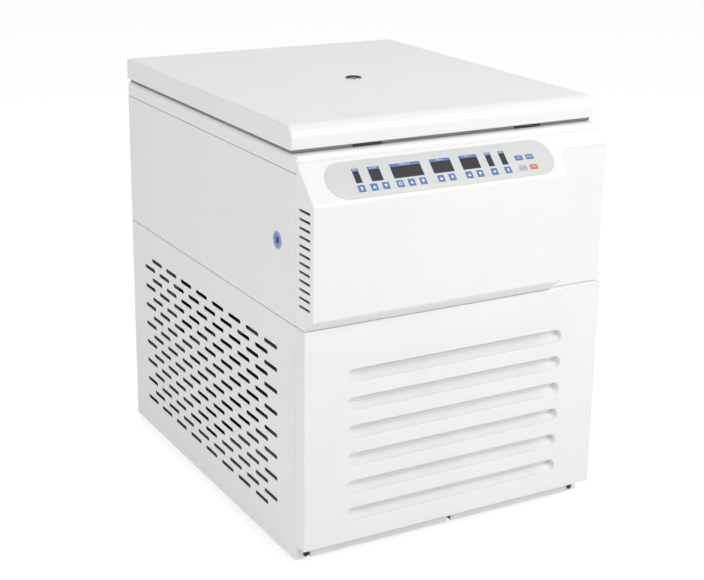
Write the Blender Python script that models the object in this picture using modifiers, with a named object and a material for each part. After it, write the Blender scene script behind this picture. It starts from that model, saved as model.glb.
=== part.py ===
"""Floor-standing refrigerated high-speed centrifuge, in metres, +Z up.

The cabinet faces -Y. The origin is on the floor, under the middle of the whole machine.
"""

import math

import bmesh
import bpy
from mathutils import Matrix, Vector

# Fits and sheet metal
CLEARANCE = 0.0003
OVERRUN = 0.002
SHEET = 0.0015
SEAM = 0.0012
BEND_RADIUS = 0.003
FOLD_WIDTH = 0.019
EDGE_STEPS = 2
FINE_STEPS = 1
UPRIGHT_SHARE = 0.9
FLAT_SHARE = 0.5

# Cabinet
CABINET_WIDTH = 0.640
CABINET_DEPTH = 0.782
FOOT_HEIGHT = 0.015
LOWER_SIDE_HEIGHT = 0.452
UPPER_SIDE_HEIGHT = 0.273
RIM_HEIGHT = 0.030
LID_GAP = 0.0065
LID_THICKNESS = 0.0415
LID_SETBACK = 0.0175

# Feet and base tray
FOOT_RADIUS = 0.020
FOOT_TOE_RADIUS = 0.017
FOOT_CHAMFER = 0.003
FOOT_INSET = 0.070
FOOT_STEPS = 12
TRAY_SHEET = 0.002
TRAY_LIP = 0.046
NOTCH_WIDTH = 0.010
NOTCH_HEIGHT = 0.011
NOTCH_DEPTH = 0.030
NOTCH_INSET = 0.026
NOTCH_OFFSET = 0.012

# Staggered vents of the lower side panels
VENT_LENGTH = 0.0545
VENT_HEIGHT = 0.0082
VENT_PITCH = 0.0772
VENT_ROW_PITCH = 0.02145
VENT_FRONT = 0.1005
VENT_REAR_MARGIN = 0.070
VENT_TOP = 0.3885
VENT_BOTTOM_MARGIN = 0.055

# Rear panel
REAR_VENT_LENGTH = 0.110
REAR_VENT_HEIGHT = 0.009
REAR_VENT_PITCH = 0.026
REAR_VENT_ROWS = 8
REAR_VENT_COLUMN = 0.150
REAR_VENT_LOW = 0.170

# Lower front panel and its scooped louvres
FRONT_PANEL_DEPTH = 0.033
FRONT_PANEL_BOTTOM = 0.031
FRONT_PANEL_WALL = 0.002
FRONT_PANEL_EDGE = 0.0025
LOUVRE_LENGTH = 0.467
LOUVRE_HEIGHT = 0.026
LOUVRE_PITCH = 0.0541
LOUVRE_TOP = 0.3545
LOUVRE_COUNT = 6
LOUVRE_DEPTH = 0.012
LOUVRE_BACK_HEIGHT = 0.013
LOUVRE_SKIN = 0.0015
LOUVRE_SLIT_INSET = 0.030
LOUVRE_END_STEPS = 5

# Console
CONSOLE_DEPTH = 0.063
CONSOLE_TOP = 0.012
CONSOLE_TOP_FLAT = 0.002
CONSOLE_DROP = 0.0605
CONSOLE_CHIN = 0.025
CONSOLE_CHIN_DEPTH = 0.031
CONSOLE_WALL = 0.003
CONSOLE_EDGE = 0.002
CONSOLE_BEND = 0.008
CONSOLE_BEND_STEPS = 4
RECESS_WIDTH = 0.1185
RECESS_SETBACK = 0.009
RECESS_CORNER = 0.036
RECESS_CORNER_STEPS = 6
CONSOLE_VENT_COUNT = 12
CONSOLE_VENT_LENGTH = 0.041
CONSOLE_VENT_HEIGHT = 0.0050
CONSOLE_VENT_PITCH = 0.01556
CONSOLE_VENT_TOP = 0.059
CONSOLE_VENT_SETBACK = 0.011

# Control overlay, its windows and keys
OVERLAY_THICKNESS = 0.0015
OVERLAY_PROUD = 0.0004
OVERLAY_HEIGHT = 0.074
OVERLAY_TOP_MARGIN = 0.006
OVERLAY_LEFT_MARGIN = 0.039
OVERLAY_RIGHT_MARGIN = 0.0125
OVERLAY_END_STEPS = 8
KEYBED_LEFT_MARGIN = 0.040
KEYBED_RIGHT_MARGIN = 0.020
KEYBED_TOP_MARGIN = 0.007
KEYBED_BOTTOM_MARGIN = 0.0035
WINDOW_CENTRE_SHARES = (0.1330, 0.2102, 0.3445, 0.4970, 0.6217, 0.7117, 0.7739)
WINDOW_WIDTHS = (0.0113, 0.0218, 0.0600, 0.0414, 0.0363, 0.0113, 0.0113)
WINDOW_KEYS = (1, 2, 3, 2, 2, 1, 1)
WINDOW_TOP = 0.0215
WINDOW_HEIGHT = 0.0230
WINDOW_RECESS = 0.0002
KEY_WIDTH = 0.0130
KEY_HEIGHT = 0.0135
KEY_PITCH = 0.0231
KEY_ROW = 0.0562
KEY_PROUD = 0.0003
KEY_TRAVEL = 0.0005
KEY_EDGE = 0.0006
FUNCTION_CENTRE_SHARE = 0.8690
FUNCTION_PITCH = 0.0232
FUNCTION_WIDTH = 0.0160
FUNCTION_HEIGHT = 0.0100
FUNCTION_ROW_PITCH = 0.0216
BOARD_THICKNESS = 0.0016
BOARD_MARGIN = 0.005

# Top frame
FRAME_WALL = 0.004
FRAME_EDGE = 0.006

# Chamber: bowl, seal, coil, insulation and armour
CHAMBER_CENTRE = 0.375
CHAMBER_STEPS = 32
BOWL_RADIUS = 0.200
BOWL_SHEET = 0.002
BOWL_DEPTH = 0.240
BOWL_CORNER = 0.032
BOWL_CORNER_STEPS = 3
BOWL_FLANGE = 0.020
BOWL_COLLAR_HEIGHT = 0.010
BOWL_COLLAR_WIDTH = 0.014
SEAL_INSET = 0.007
SEAL_WIDTH = 0.011
SEAL_CHAMFER = 0.002
COIL_TUBE_RADIUS = 0.005
COIL_TURNS = 4
COIL_PITCH = 0.036
COIL_START = 0.040
INSULATION_THICKNESS = 0.030
INSULATION_HOLE = 0.064
ARMOUR_WALL = 0.008
DECK_THICKNESS = 0.006
DECK_RISE = 0.010
DECK_FLANGE = 0.025
DECK_HOLE = 0.066

# Drive motor, damper and shaft
DRIVE_STEPS = 24
NECK_TOP_RADIUS = 0.034
NECK_RADIUS = 0.050
NECK_RISE = 0.006
NECK_CLEARANCE = 0.003
NECK_TAPER_HEIGHT = 0.030
MOTOR_FLANGE_RADIUS = 0.104
MOTOR_FLANGE_THICKNESS = 0.008
MOTOR_RADIUS = 0.082
MOTOR_LENGTH = 0.190
MOTOR_FOOT_RADIUS = 0.058
MOTOR_FOOT_LENGTH = 0.016
DAMPER_THICKNESS = 0.018
DAMPER_INNER_RADIUS = 0.072
DAMPER_WAIST = 0.004
SHAFT_STEPS = 16
SHAFT_RADIUS = 0.0100
SHAFT_DEPTH = 0.120
SHAFT_COLLAR_RADIUS = 0.022
SHAFT_COLLAR_THICKNESS = 0.006
SPINDLE_RADIUS = 0.0105
SPINDLE_TOP_RADIUS = 0.0085
SPINDLE_STANDOUT = 0.006

# Fixed-angle rotor, its lid and knob; heights are above the rotor's underside
ROTOR_STEPS = 24
ROTOR_RISE = 0.010
ROTOR_HEIGHT = 0.131
ROTOR_RIM_OUTER = 0.090
ROTOR_RIM_INNER = 0.080
ROTOR_RADIUS = 0.122
ROTOR_SHOULDER_HEIGHT = 0.036
ROTOR_SKIRT_HEIGHT = 0.010
ROTOR_FOOT_RADIUS = 0.112
ROTOR_RELIEF_RADIUS = 0.054
ROTOR_RELIEF_TOP_RADIUS = 0.042
ROTOR_RELIEF_HEIGHT = 0.028
ROTOR_HUB_RADIUS = 0.024
ROTOR_HUB_TOP = 0.100
POCKET_COUNT = 6
POCKET_ANGLE = math.radians(25)
POCKET_RADIUS = 0.0195
POCKET_DEPTH = 0.092
POCKET_CIRCLE = 0.052
POCKET_SIDES = 12
ROTOR_LID_EDGE = 0.005
ROTOR_LID_CROWN = 0.012
ROTOR_LID_CROWN_RADIUS = 0.030
ROTOR_LID_SKIN = 0.005
ROTOR_LID_SPIGOT = 0.0035
KNOB_RADIUS = 0.023
KNOB_LOBE = 0.0025
KNOB_LOBES = 6
KNOB_LOBE_STEPS = 6
KNOB_HEIGHT = 0.024
KNOB_EDGE = 0.002
STUD_RADIUS = 0.0050
STUD_LENGTH = 0.040
STUD_HOLE_DEPTH = 0.030

# Lid
LID_WALL = 0.002
LID_FRONT_RADIUS = 0.024
LID_REAR_RADIUS = 0.008
LID_HEM_RADIUS = 0.003
LID_FRONT_STEPS = 6
LID_REAR_STEPS = 3
LID_HEM_STEPS = 2
LID_SIDE_EDGE = 0.002
LINER_SHEET = 0.002
PORT_STEPS = 24
PORT_FLANGE_RADIUS = 0.0171
PORT_FLANGE_THICKNESS = 0.001
PORT_TUBE_RADIUS = 0.0150
PORT_BORE_RADIUS = 0.0115
PORT_SEAT_RADIUS = 0.0138
PORT_SEAT_DEPTH = 0.0035
PORT_GLASS_THICKNESS = 0.0025

# Hinges
HINGE_SPACING = 0.400
HINGE_SETOFF = 0.014
HINGE_STEPS = 16
HINGE_PIN_RADIUS = 0.005
HINGE_EYE_RADIUS = 0.009
HINGE_EAR_RADIUS = 0.010
HINGE_EAR_THICKNESS = 0.006
HINGE_EAR_DROP = 0.030
HINGE_ARM_WIDTH = 0.030
HINGE_ARM_THICKNESS = 0.004
HINGE_ARM_LENGTH = 0.110
HINGE_PLATE_WIDTH = 0.060
HINGE_PLATE_THICKNESS = 0.004
HINGE_PLATE_HEIGHT = 0.060
HINGE_PLATE_DROP = 0.006

# Lid lock
LATCH_SPACING = 0.340
LATCH_SETBACK = 0.050
STRIKER_WIDTH = 0.026
STRIKER_THICKNESS = 0.003
STRIKER_LENGTH = 0.0445
STRIKER_NOTCH_WIDTH = 0.012
STRIKER_NOTCH_HEIGHT = 0.008
STRIKER_TOOTH = 0.0105
LOCK_PLATE_THICKNESS = 0.003
LOCK_PLATE_FRONT = 0.014
LOCK_PLATE_BACK = 0.022
LOCK_COLLAR_WIDTH = 0.058
LOCK_COLLAR_DEPTH = 0.022
LOCK_COLLAR_PROUD = 0.004
LOCK_SLOT_PLAY = 0.002
LATCH_BAR_SETBACK = 0.006
LATCH_BAR_THICKNESS = 0.003
LATCH_BAR_HEIGHT = 0.014
LATCH_BAR_RISE = 0.0065
LATCH_NOSE_WIDTH = 0.010
LATCH_NOSE_PLAY = 0.0005
LATCH_TRAVEL = 0.010
LATCH_LEG_WIDTH = 0.012
LOCK_GUIDE_WIDTH = 0.016
LOCK_GUIDE_WALL = 0.004
LOCK_GUIDE_SPACING = 0.200
LOCK_MOTOR_WIDTH = 0.080
LOCK_MOTOR_DEPTH = 0.028
LOCK_MOTOR_HEIGHT = 0.046

# Emergency release
RELEASE_SETBACK = 0.072
RELEASE_HEIGHT = 0.591
RELEASE_RADIUS = 0.0165
RELEASE_BARREL_RADIUS = 0.0125
RELEASE_BARREL_LENGTH = 0.020
RELEASE_COLLAR_RADIUS = 0.0190
RELEASE_COLLAR_THICKNESS = 0.003
PLUNGER_RADIUS = 0.0065
PLUNGER_SINK = 0.001
PLUNGER_STEPS = 16
LEG_INSET = 0.036
LEG_PAD_HEIGHT = 0.018

# Refrigeration and electronics in the lower bay
CONDENSER_WIDTH = 0.360
CONDENSER_DEPTH = 0.040
CONDENSER_HEIGHT = 0.310
CONDENSER_SETBACK = 0.012
CONDENSER_HEADER = 0.010
CONDENSER_HEADER_LIP = 0.003
SHROUD_MARGIN = 0.010
SHROUD_RIM = 0.019
SHROUD_DEPTH = 0.046
FAN_TIP_GAP = 0.008
FAN_HUB_RADIUS = 0.034
FAN_HUB_LENGTH = 0.020
FAN_BLADES = 5
FAN_ROOT_CHORD = 0.034
FAN_TIP_CHORD = 0.062
FAN_BLADE_THICKNESS = 0.002
FAN_PITCH = math.radians(32)
FAN_SETBACK = 0.020
FAN_MOTOR_RADIUS = 0.036
FAN_MOTOR_LENGTH = 0.040
FAN_SPIDER_WIDTH = 0.014
FAN_SPIDER_THICKNESS = 0.003
COMPRESSOR_RADIUS = 0.078
COMPRESSOR_HEIGHT = 0.190
COMPRESSOR_DOME = 0.035
COMPRESSOR_DOME_RADIUS = 0.048
COMPRESSOR_RISE = 0.014
COMPRESSOR_BASE_SIZE = 0.130
COMPRESSOR_BASE_THICKNESS = 0.004
COMPRESSOR_SIDE_SETBACK = 0.155
COMPRESSOR_REAR_SETBACK = 0.162
COMPRESSOR_STEPS = 20
TERMINAL_BOX_SIZE = 0.044
CONTROLLER_WIDTH = 0.150
CONTROLLER_DEPTH = 0.200
CONTROLLER_HEIGHT = 0.260
CONTROLLER_SIDE_SETBACK = 0.055
CONTROLLER_REAR_SETBACK = 0.072
HEATSINK_FINS = 7
HEATSINK_FIN_PITCH = 0.022
HEATSINK_GROOVE = 0.014
HEATSINK_DEPTH = 0.020

# Power entry on the rear panel
POWER_SIDE_SETBACK = 0.130
POWER_HEIGHT = 0.110
POWER_PLATE_WIDTH = 0.060
POWER_PLATE_HEIGHT = 0.110
POWER_PLATE_THICKNESS = 0.003
POWER_BODY_INSET = 0.006
POWER_BODY_DEPTH = 0.030
ROCKER_WIDTH = 0.022
ROCKER_HEIGHT = 0.030
ROCKER_DEPTH = 0.012
ROCKER_RISE = 0.022
ROCKER_ANGLE = math.radians(10)
ROCKER_WELL_DEPTH = 0.015
GLAND_RADIUS = 0.0125
GLAND_BORE_RADIUS = 0.0075
GLAND_LENGTH = 0.015
GLAND_DROP = 0.028
GLAND_BORE_DEPTH = 0.030
GLAND_STEPS = 12

# Levels and planes that follow from the sizes above
Z_BASE = FOOT_HEIGHT + CLEARANCE
Z_SEAM = Z_BASE + LOWER_SIDE_HEIGHT
Z_RIM = Z_SEAM + UPPER_SIDE_HEIGHT
Z_RIM_TOP = Z_RIM + RIM_HEIGHT
Z_FRAME_UNDER = Z_RIM_TOP - FRAME_WALL
Z_LID = Z_RIM_TOP + LID_GAP
Z_LID_TOP = Z_LID + LID_THICKNESS
Z_TRAY = Z_BASE + TRAY_SHEET
Z_CONSOLE = Z_RIM_TOP - CONSOLE_TOP
Z_DECK_UNDER = Z_SEAM + DECK_RISE
Z_DECK = Z_DECK_UNDER + DECK_THICKNESS
Z_BOWL_FLOOR = Z_RIM_TOP - BOWL_DEPTH
Z_ROTOR = Z_BOWL_FLOOR + BOWL_COLLAR_HEIGHT + ROTOR_RISE + SHAFT_COLLAR_THICKNESS
Z_HINGE = Z_LID - CLEARANCE - HINGE_ARM_THICKNESS / 2
X_SIDE = CABINET_WIDTH / 2
X_INNER = X_SIDE - SHEET - CLEARANCE
X_FOLD = X_SIDE - FOLD_WIDTH - CLEARANCE
X_CONSOLE = X_SIDE - RECESS_WIDTH
X_HINGE = HINGE_SPACING / 2
X_LATCH = LATCH_SPACING / 2
X_POWER = X_SIDE - POWER_SIDE_SETBACK
HINGE_REACH = HINGE_SETOFF + HINGE_EAR_RADIUS
Y_FRONT = (CONSOLE_DEPTH - CABINET_DEPTH - HINGE_REACH) / 2
Y_REAR = Y_FRONT + CABINET_DEPTH
Y_CHAMBER = Y_FRONT + CHAMBER_CENTRE
Y_HINGE = Y_REAR + HINGE_SETOFF
Y_LATCH = Y_FRONT + LATCH_SETBACK
Y_LID_FRONT = Y_FRONT + LID_SETBACK
Y_PANEL = Y_FRONT - FRONT_PANEL_DEPTH
Y_CONSOLE = Y_FRONT - CONSOLE_DEPTH
CHAMBER_AXIS = Vector((0, Y_CHAMBER, 0))
SHROUD_SIZE = CONDENSER_HEIGHT - 2 * SHROUD_MARGIN
FAN_BORE_RADIUS = SHROUD_SIZE / 2 - SHROUD_RIM
FAN_RADIUS = FAN_BORE_RADIUS - FAN_TIP_GAP

# The slope of the console: its own frame has x along the cabinet, y up the slope, z out of it
SLOPE_ANGLE = math.atan2(CONSOLE_DROP, CONSOLE_DEPTH - CONSOLE_TOP_FLAT)
SLOPE_LENGTH = math.hypot(CONSOLE_DROP, CONSOLE_DEPTH - CONSOLE_TOP_FLAT)
SLOPE_TOP = Vector((0, Y_FRONT - CONSOLE_TOP_FLAT, Z_CONSOLE))
SLOPE = Matrix.Translation(SLOPE_TOP) @ Matrix.Rotation(SLOPE_ANGLE, 4, "X")
OVERLAY_LEFT = -X_SIDE + OVERLAY_LEFT_MARGIN
OVERLAY_RIGHT = X_CONSOLE - OVERLAY_RIGHT_MARGIN
OVERLAY_LENGTH = OVERLAY_RIGHT - OVERLAY_LEFT
OVERLAY_SEAT = OVERLAY_PROUD - OVERLAY_THICKNESS
BOARD_FACE = -CONSOLE_WALL - CLEARANCE


def start_collections():
    """Empties the file and returns the collections of the parts and of their cutters."""
    for old in list(bpy.data.objects):
        bpy.data.objects.remove(old, do_unlink=True)
    parts = bpy.data.collections.new("high_speed_centrifuge")
    cutters = bpy.data.collections.new("cutters")
    bpy.context.scene.collection.children.link(parts)
    bpy.context.scene.collection.children.link(cutters)
    return parts, cutters


PARTS, CUTTERS = start_collections()


def finish(name, colour, roughness, metallic=0.0):
    """A plain material with the colour, roughness and metallic value of one sub-part."""
    material = bpy.data.materials.new(name)
    material.use_nodes = True
    shader = material.node_tree.nodes["Principled BSDF"]
    shader.inputs["Base Color"].default_value = (*colour, 1.0)
    shader.inputs["Roughness"].default_value = roughness
    shader.inputs["Metallic"].default_value = metallic
    material.diffuse_color = (*colour, 1.0)
    return material


WHITE_COAT = ("powder_white", (0.86, 0.86, 0.85), 0.45)
PLASTIC_WHITE = ("moulded_white", (0.87, 0.87, 0.86), 0.40)
PLASTIC_GREY = ("overlay_grey", (0.70, 0.71, 0.69), 0.50)
PLASTIC_BLACK = ("lock_black", (0.03, 0.03, 0.03), 0.50)
PLASTIC_BLUE = ("key_blue", (0.12, 0.21, 0.48), 0.45)
PLASTIC_RED = ("key_red", (0.65, 0.18, 0.15), 0.45)
PLASTIC_DULL = ("key_grey", (0.48, 0.48, 0.45), 0.50)
WINDOW_DARK = ("window_dark", (0.06, 0.06, 0.06), 0.25)
RUBBER = ("rubber_black", (0.03, 0.03, 0.03), 0.80)
RUBBER_GREY = ("seal_grey", (0.25, 0.25, 0.26), 0.75)
FOAM = ("foam_cream", (0.78, 0.72, 0.55), 0.95)
STAINLESS = ("stainless", (0.62, 0.62, 0.63), 0.30, 1.0)
ZINC_STEEL = ("zinc_steel", (0.55, 0.56, 0.58), 0.40, 1.0)
COPPER = ("copper", (0.72, 0.38, 0.26), 0.35, 1.0)
ALUMINIUM = ("aluminium", (0.70, 0.71, 0.72), 0.40, 1.0)
ANODISED = ("anodised_dark", (0.10, 0.10, 0.11), 0.40, 0.6)
PAINT_BLACK = ("paint_black", (0.02, 0.02, 0.02), 0.45)
GLASS = ("port_glass", (0.20, 0.24, 0.25), 0.10)


def link(name, mesh, where):
    obj = bpy.data.objects.new(name, mesh)
    where.objects.link(obj)
    if where is CUTTERS:
        obj.hide_render = True
        obj.display_type = "WIRE"
    return obj


def from_bmesh(name, bm, where):
    mesh = bpy.data.meshes.new(name)
    bm.to_mesh(mesh)
    bm.free()
    return link(name, mesh, where)


def block(name, low, high, where=CUTTERS, radius=0.0, segments=2, chosen=None):
    """A box between two corners; the edges whose middle is chosen are rounded."""
    low, high = Vector(low), Vector(high)
    bm = bmesh.new()
    bmesh.ops.create_cube(bm, size=1.0)
    size = Matrix.Diagonal((*(high - low), 1.0))
    bmesh.ops.transform(bm, matrix=Matrix.Translation((low + high) / 2) @ size, verts=bm.verts)
    if radius:
        round_edges(bm, radius, segments, chosen)
    return from_bmesh(name, bm, where)


def round_edges(bm, radius, segments, chosen):
    """Rounds the edges of a mesh for which chosen(middle, direction) is true."""
    edges = []
    for edge in bm.edges:
        start, end = (vertex.co for vertex in edge.verts)
        if chosen((start + end) / 2, (end - start).normalized()):
            edges.append(edge)
    bmesh.ops.bevel(
        bm,
        geom=edges,
        offset=radius,
        offset_type="OFFSET",
        segments=segments,
        profile=0.5,
        affect="EDGES",
    )


def bar(name, radius, start, end, sides, where=CUTTERS, end_radius=None):
    """A cylinder, or a cone, from one point to another."""
    start, end = Vector(start), Vector(end)
    bm = bmesh.new()
    bmesh.ops.create_cone(
        bm,
        cap_ends=True,
        segments=sides,
        radius1=radius,
        radius2=radius if end_radius is None else end_radius,
        depth=(end - start).length,
    )
    turn = Vector((0, 0, 1)).rotation_difference(end - start).to_matrix().to_4x4()
    bmesh.ops.transform(bm, matrix=Matrix.Translation((start + end) / 2) @ turn, verts=bm.verts)
    return from_bmesh(name, bm, where)


def turned(name, profile, steps, where=CUTTERS, place=CHAMBER_AXIS, closed=True):
    """A turned shape about the local Z axis, from (radius, height) points down its outer side."""
    bm = bmesh.new()
    points = [bm.verts.new((radius, 0, height)) for radius, height in profile]
    for first, second in zip(points, points[1:]):
        bm.edges.new((first, second))
    if closed:
        bm.edges.new((points[-1], points[0]))
    obj = from_bmesh(name, bm, where)
    obj.location = place
    screw = obj.modifiers.new("turn", "SCREW")
    screw.axis = "Z"
    screw.angle = math.tau
    screw.steps = steps
    screw.render_steps = steps
    screw.use_merge_vertices = True
    screw.merge_threshold = CLEARANCE / 10
    screw.use_smooth_shade = False
    return obj


def slab(name, loops, thickness, matrix, where=CUTTERS):
    """Flat outlines, with those inside another as holes, made solid about their plane."""
    curve = bpy.data.curves.new(name, "CURVE")
    curve.dimensions = "2D"
    curve.fill_mode = "BOTH"
    curve.extrude = thickness / 2
    for loop in loops:
        spline = curve.splines.new("POLY")
        spline.points.add(len(loop) - 1)
        spline.use_cyclic_u = True
        for point, (across, along) in zip(spline.points, loop):
            point.co = (across, along, 0, 1)
    obj = solid_from_curve(name, curve, matrix, where)
    if len(loops) == 1:
        merge_flat_faces(obj.data)
    return obj


def merge_flat_faces(mesh):
    """Makes one face of the triangles that fill each flat end."""
    bm = bmesh.new()
    bm.from_mesh(mesh)
    bmesh.ops.dissolve_limit(bm, angle_limit=math.radians(1), edges=bm.edges)
    bm.to_mesh(mesh)
    bm.free()


def solid_from_curve(name, curve, matrix, where):
    """The closed mesh of a curve with its loose caps welded on."""
    guide = bpy.data.objects.new(name + "_guide", curve)
    bpy.context.scene.collection.objects.link(guide)
    bpy.context.view_layer.update()
    graph = bpy.context.evaluated_depsgraph_get()
    mesh = bpy.data.meshes.new_from_object(guide.evaluated_get(graph))
    bpy.data.objects.remove(guide)
    bm = bmesh.new()
    bm.from_mesh(mesh)
    bmesh.ops.remove_doubles(bm, verts=bm.verts, dist=CLEARANCE / 10)
    bmesh.ops.recalc_face_normals(bm, faces=bm.faces)
    bm.to_mesh(mesh)
    bm.free()
    mesh.name = name
    obj = link(name, mesh, where)
    obj.matrix_world = matrix
    return obj


def combine(obj, other, operation):
    """A Boolean with another object, which then follows the first one."""
    modifier = obj.modifiers.new(operation.lower(), "BOOLEAN")
    modifier.operation = operation
    modifier.solver = "EXACT"
    modifier.object = other
    follow(other, obj)
    return obj


def cut(obj, *cutters):
    for cutter in cutters:
        combine(obj, cutter, "DIFFERENCE")
    return obj


def join(obj, *others):
    for other in others:
        combine(obj, other, "UNION")
    return obj


def follow(child, parent):
    """Parents an object and keeps its place."""
    bpy.context.view_layer.update()
    child.parent = parent
    child.matrix_parent_inverse = parent.matrix_world.inverted()


def pivot(name, place):
    """An empty on a joint's axis."""
    empty = bpy.data.objects.new(name, None)
    empty.empty_display_size = HINGE_EAR_RADIUS
    empty.location = place
    PARTS.objects.link(empty)
    return empty


def coat(obj, look):
    """Gives a piece its own material and shades its round faces smooth."""
    obj.data.materials.clear()
    obj.data.materials.append(finish(obj.name + "_" + look[0], *look[1:]))
    return obj


def arc(centre, radius, start, end, segments):
    """Points on an arc, both ends included, with angles in radians."""
    points = []
    for index in range(segments + 1):
        angle = start + (end - start) * index / segments
        points.append((centre[0] + radius * math.cos(angle), centre[1] + radius * math.sin(angle)))
    return points


def filleted(corners):
    """An outline from (across, along, radius, segments) corners, with each corner rounded."""
    outline = []
    for index, (across, along, radius, segments) in enumerate(corners):
        here = Vector((across, along))
        if not radius:
            outline.append(tuple(here))
            continue
        before = (Vector(corners[index - 1][:2]) - here).normalized()
        after = (Vector(corners[(index + 1) % len(corners)][:2]) - here).normalized()
        half = before.angle(after) / 2
        centre = here + (before + after).normalized() * radius / math.sin(half)
        first = here + before * radius / math.tan(half) - centre
        last = here + after * radius / math.tan(half) - centre
        sweep = math.pi - 2 * half
        side = 1 if first.x * last.y - first.y * last.x > 0 else -1
        start = math.atan2(first.y, first.x)
        outline += arc(centre, radius, start, start + side * sweep, segments)
    return outline


def oblong(across, along, length, height, segments):
    """A slot outline about a centre, with round ends of so many segments."""
    radius = height / 2
    reach = length / 2 - radius
    right = arc((across + reach, along), radius, -math.pi / 2, math.pi / 2, segments)
    left = arc((across - reach, along), radius, math.pi / 2, 3 * math.pi / 2, segments)
    return right + left


def rectangle(across, along, width, height):
    left, right = across - width / 2, across + width / 2
    low, high = along - height / 2, along + height / 2
    return [(left, low), (right, low), (right, high), (left, high)]


def facing_side(x):
    """A frame whose x runs along the cabinet's depth and whose z points to +X."""
    axes = Matrix(((0, 0, 1, x), (1, 0, 0, 0), (0, 1, 0, 0), (0, 0, 0, 1)))
    return axes


def facing_front(y):
    """A frame whose x is the cabinet's width, whose y points up and whose z points to -Y."""
    return Matrix(((1, 0, 0, 0), (0, 0, -1, y), (0, 1, 0, 0), (0, 0, 0, 1)))


def sided(side, inner, outer):
    """The lower and higher x of a span that lies on one side of the cabinet."""
    ends = (side * inner, side * outer)
    return min(ends), max(ends)


def is_upright(direction):
    return abs(direction.z) > UPRIGHT_SHARE


def roomy(radius, sides):
    """The radius of a faceted hole that leaves its clearance round a turning rod."""
    return (radius + CLEARANCE) / math.cos(math.pi / sides)


def make_feet():
    profile = [
        (0, 0),
        (FOOT_TOE_RADIUS - FOOT_CHAMFER, 0),
        (FOOT_TOE_RADIUS, FOOT_CHAMFER),
        (FOOT_RADIUS, FOOT_HEIGHT),
        (0, FOOT_HEIGHT),
    ]
    for x_name, x in (("left", -X_SIDE + FOOT_INSET), ("right", X_SIDE - FOOT_INSET)):
        for y_name, y in (("front", Y_FRONT + FOOT_INSET), ("rear", Y_REAR - FOOT_INSET)):
            name = f"foot_{y_name}_{x_name}"
            foot = turned(name, profile[::-1], FOOT_STEPS, PARTS, Vector((x, y, 0)), closed=False)
            coat(foot, RUBBER)


def make_base_tray():
    """A folded tray; its front lip lies in the plane of the side panels' front folds."""
    y_front, y_rear = Y_FRONT + SHEET + CLEARANCE, Y_REAR - SHEET - CLEARANCE
    z_top = Z_BASE + TRAY_LIP
    tray = block("base_tray", (-X_INNER, y_front, Z_BASE), (X_INNER, y_rear, z_top), PARTS)
    lip_back = y_front + TRAY_SHEET / 2
    join(tray, block("tray_lip", (-X_FOLD, Y_FRONT, Z_BASE), (X_FOLD, lip_back, z_top)))
    hollow = block(
        "tray_hollow",
        (-X_INNER + TRAY_SHEET, y_front + TRAY_SHEET, Z_TRAY),
        (X_INNER - TRAY_SHEET, y_rear - TRAY_SHEET, z_top + OVERRUN),
    )
    cut(tray, hollow)
    for index, x in enumerate((-X_SIDE + NOTCH_INSET, NOTCH_OFFSET)):
        low = (x - NOTCH_WIDTH / 2, Y_FRONT - OVERRUN, Z_BASE - OVERRUN)
        high = (x + NOTCH_WIDTH / 2, Y_FRONT + NOTCH_DEPTH, Z_BASE + NOTCH_HEIGHT)
        cut(tray, block(f"tray_notch_{index + 1}", low, high))
    coat(tray, WHITE_COAT)


def make_side_panel(name, side, z_low, z_high):
    """A flat side with its front and rear edges folded inwards."""
    x_low, x_high = sided(side, X_SIDE - FOLD_WIDTH, X_SIDE)
    panel = block(
        name,
        (x_low, Y_FRONT, z_low),
        (x_high, Y_REAR, z_high),
        PARTS,
        BEND_RADIUS,
        EDGE_STEPS,
        lambda middle, way: is_upright(way) and side * middle.x > X_SIDE - SHEET,
    )
    x_low, x_high = sided(side, X_SIDE - FOLD_WIDTH - OVERRUN, X_SIDE - SHEET)
    inside = block(
        name + "_inside",
        (x_low, Y_FRONT + SHEET, z_low - OVERRUN),
        (x_high, Y_REAR - SHEET, z_high + OVERRUN),
    )
    cut(panel, inside)
    return coat(panel, WHITE_COAT)


def side_vents():
    """Outlines of the staggered slots, every other row shifted by half a pitch."""
    shift = VENT_PITCH / 2
    span = CABINET_DEPTH - VENT_REAR_MARGIN - VENT_LENGTH / 2 - VENT_FRONT - shift
    columns = int(span / VENT_PITCH) + 1
    rows = int((VENT_TOP - VENT_BOTTOM_MARGIN) / VENT_ROW_PITCH) + 1
    loops = []
    for row in range(rows):
        z = Z_BASE + VENT_TOP - row * VENT_ROW_PITCH
        for column in range(columns):
            y = Y_FRONT + VENT_FRONT + column * VENT_PITCH + (row % 2) * shift
            loops.append(rectangle(y, z, VENT_LENGTH, VENT_HEIGHT))
    return loops


def make_lower_sides():
    for name, side in (("lower_side_left", -1), ("lower_side_right", 1)):
        panel = make_side_panel(name, side, Z_BASE, Z_SEAM - SEAM / 2)
        middle = side * (X_SIDE - SHEET / 2)
        vents = slab(name + "_vents", side_vents(), SHEET + 2 * OVERRUN, facing_side(middle))
        cut(panel, vents)


def make_upper_sides():
    for name, side in (("upper_side_left", -1), ("upper_side_right", 1)):
        panel = make_side_panel(name, side, Z_SEAM + SEAM / 2, Z_RIM - SEAM / 2)
        if side < 0:
            place = (Y_FRONT + RELEASE_SETBACK, Z_BASE + RELEASE_HEIGHT)
            start = (-X_SIDE - OVERRUN, *place)
            end = (-X_SIDE + SHEET + OVERRUN, *place)
            cut(panel, bar("release_hole", RELEASE_RADIUS + CLEARANCE, start, end, PORT_STEPS))


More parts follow.
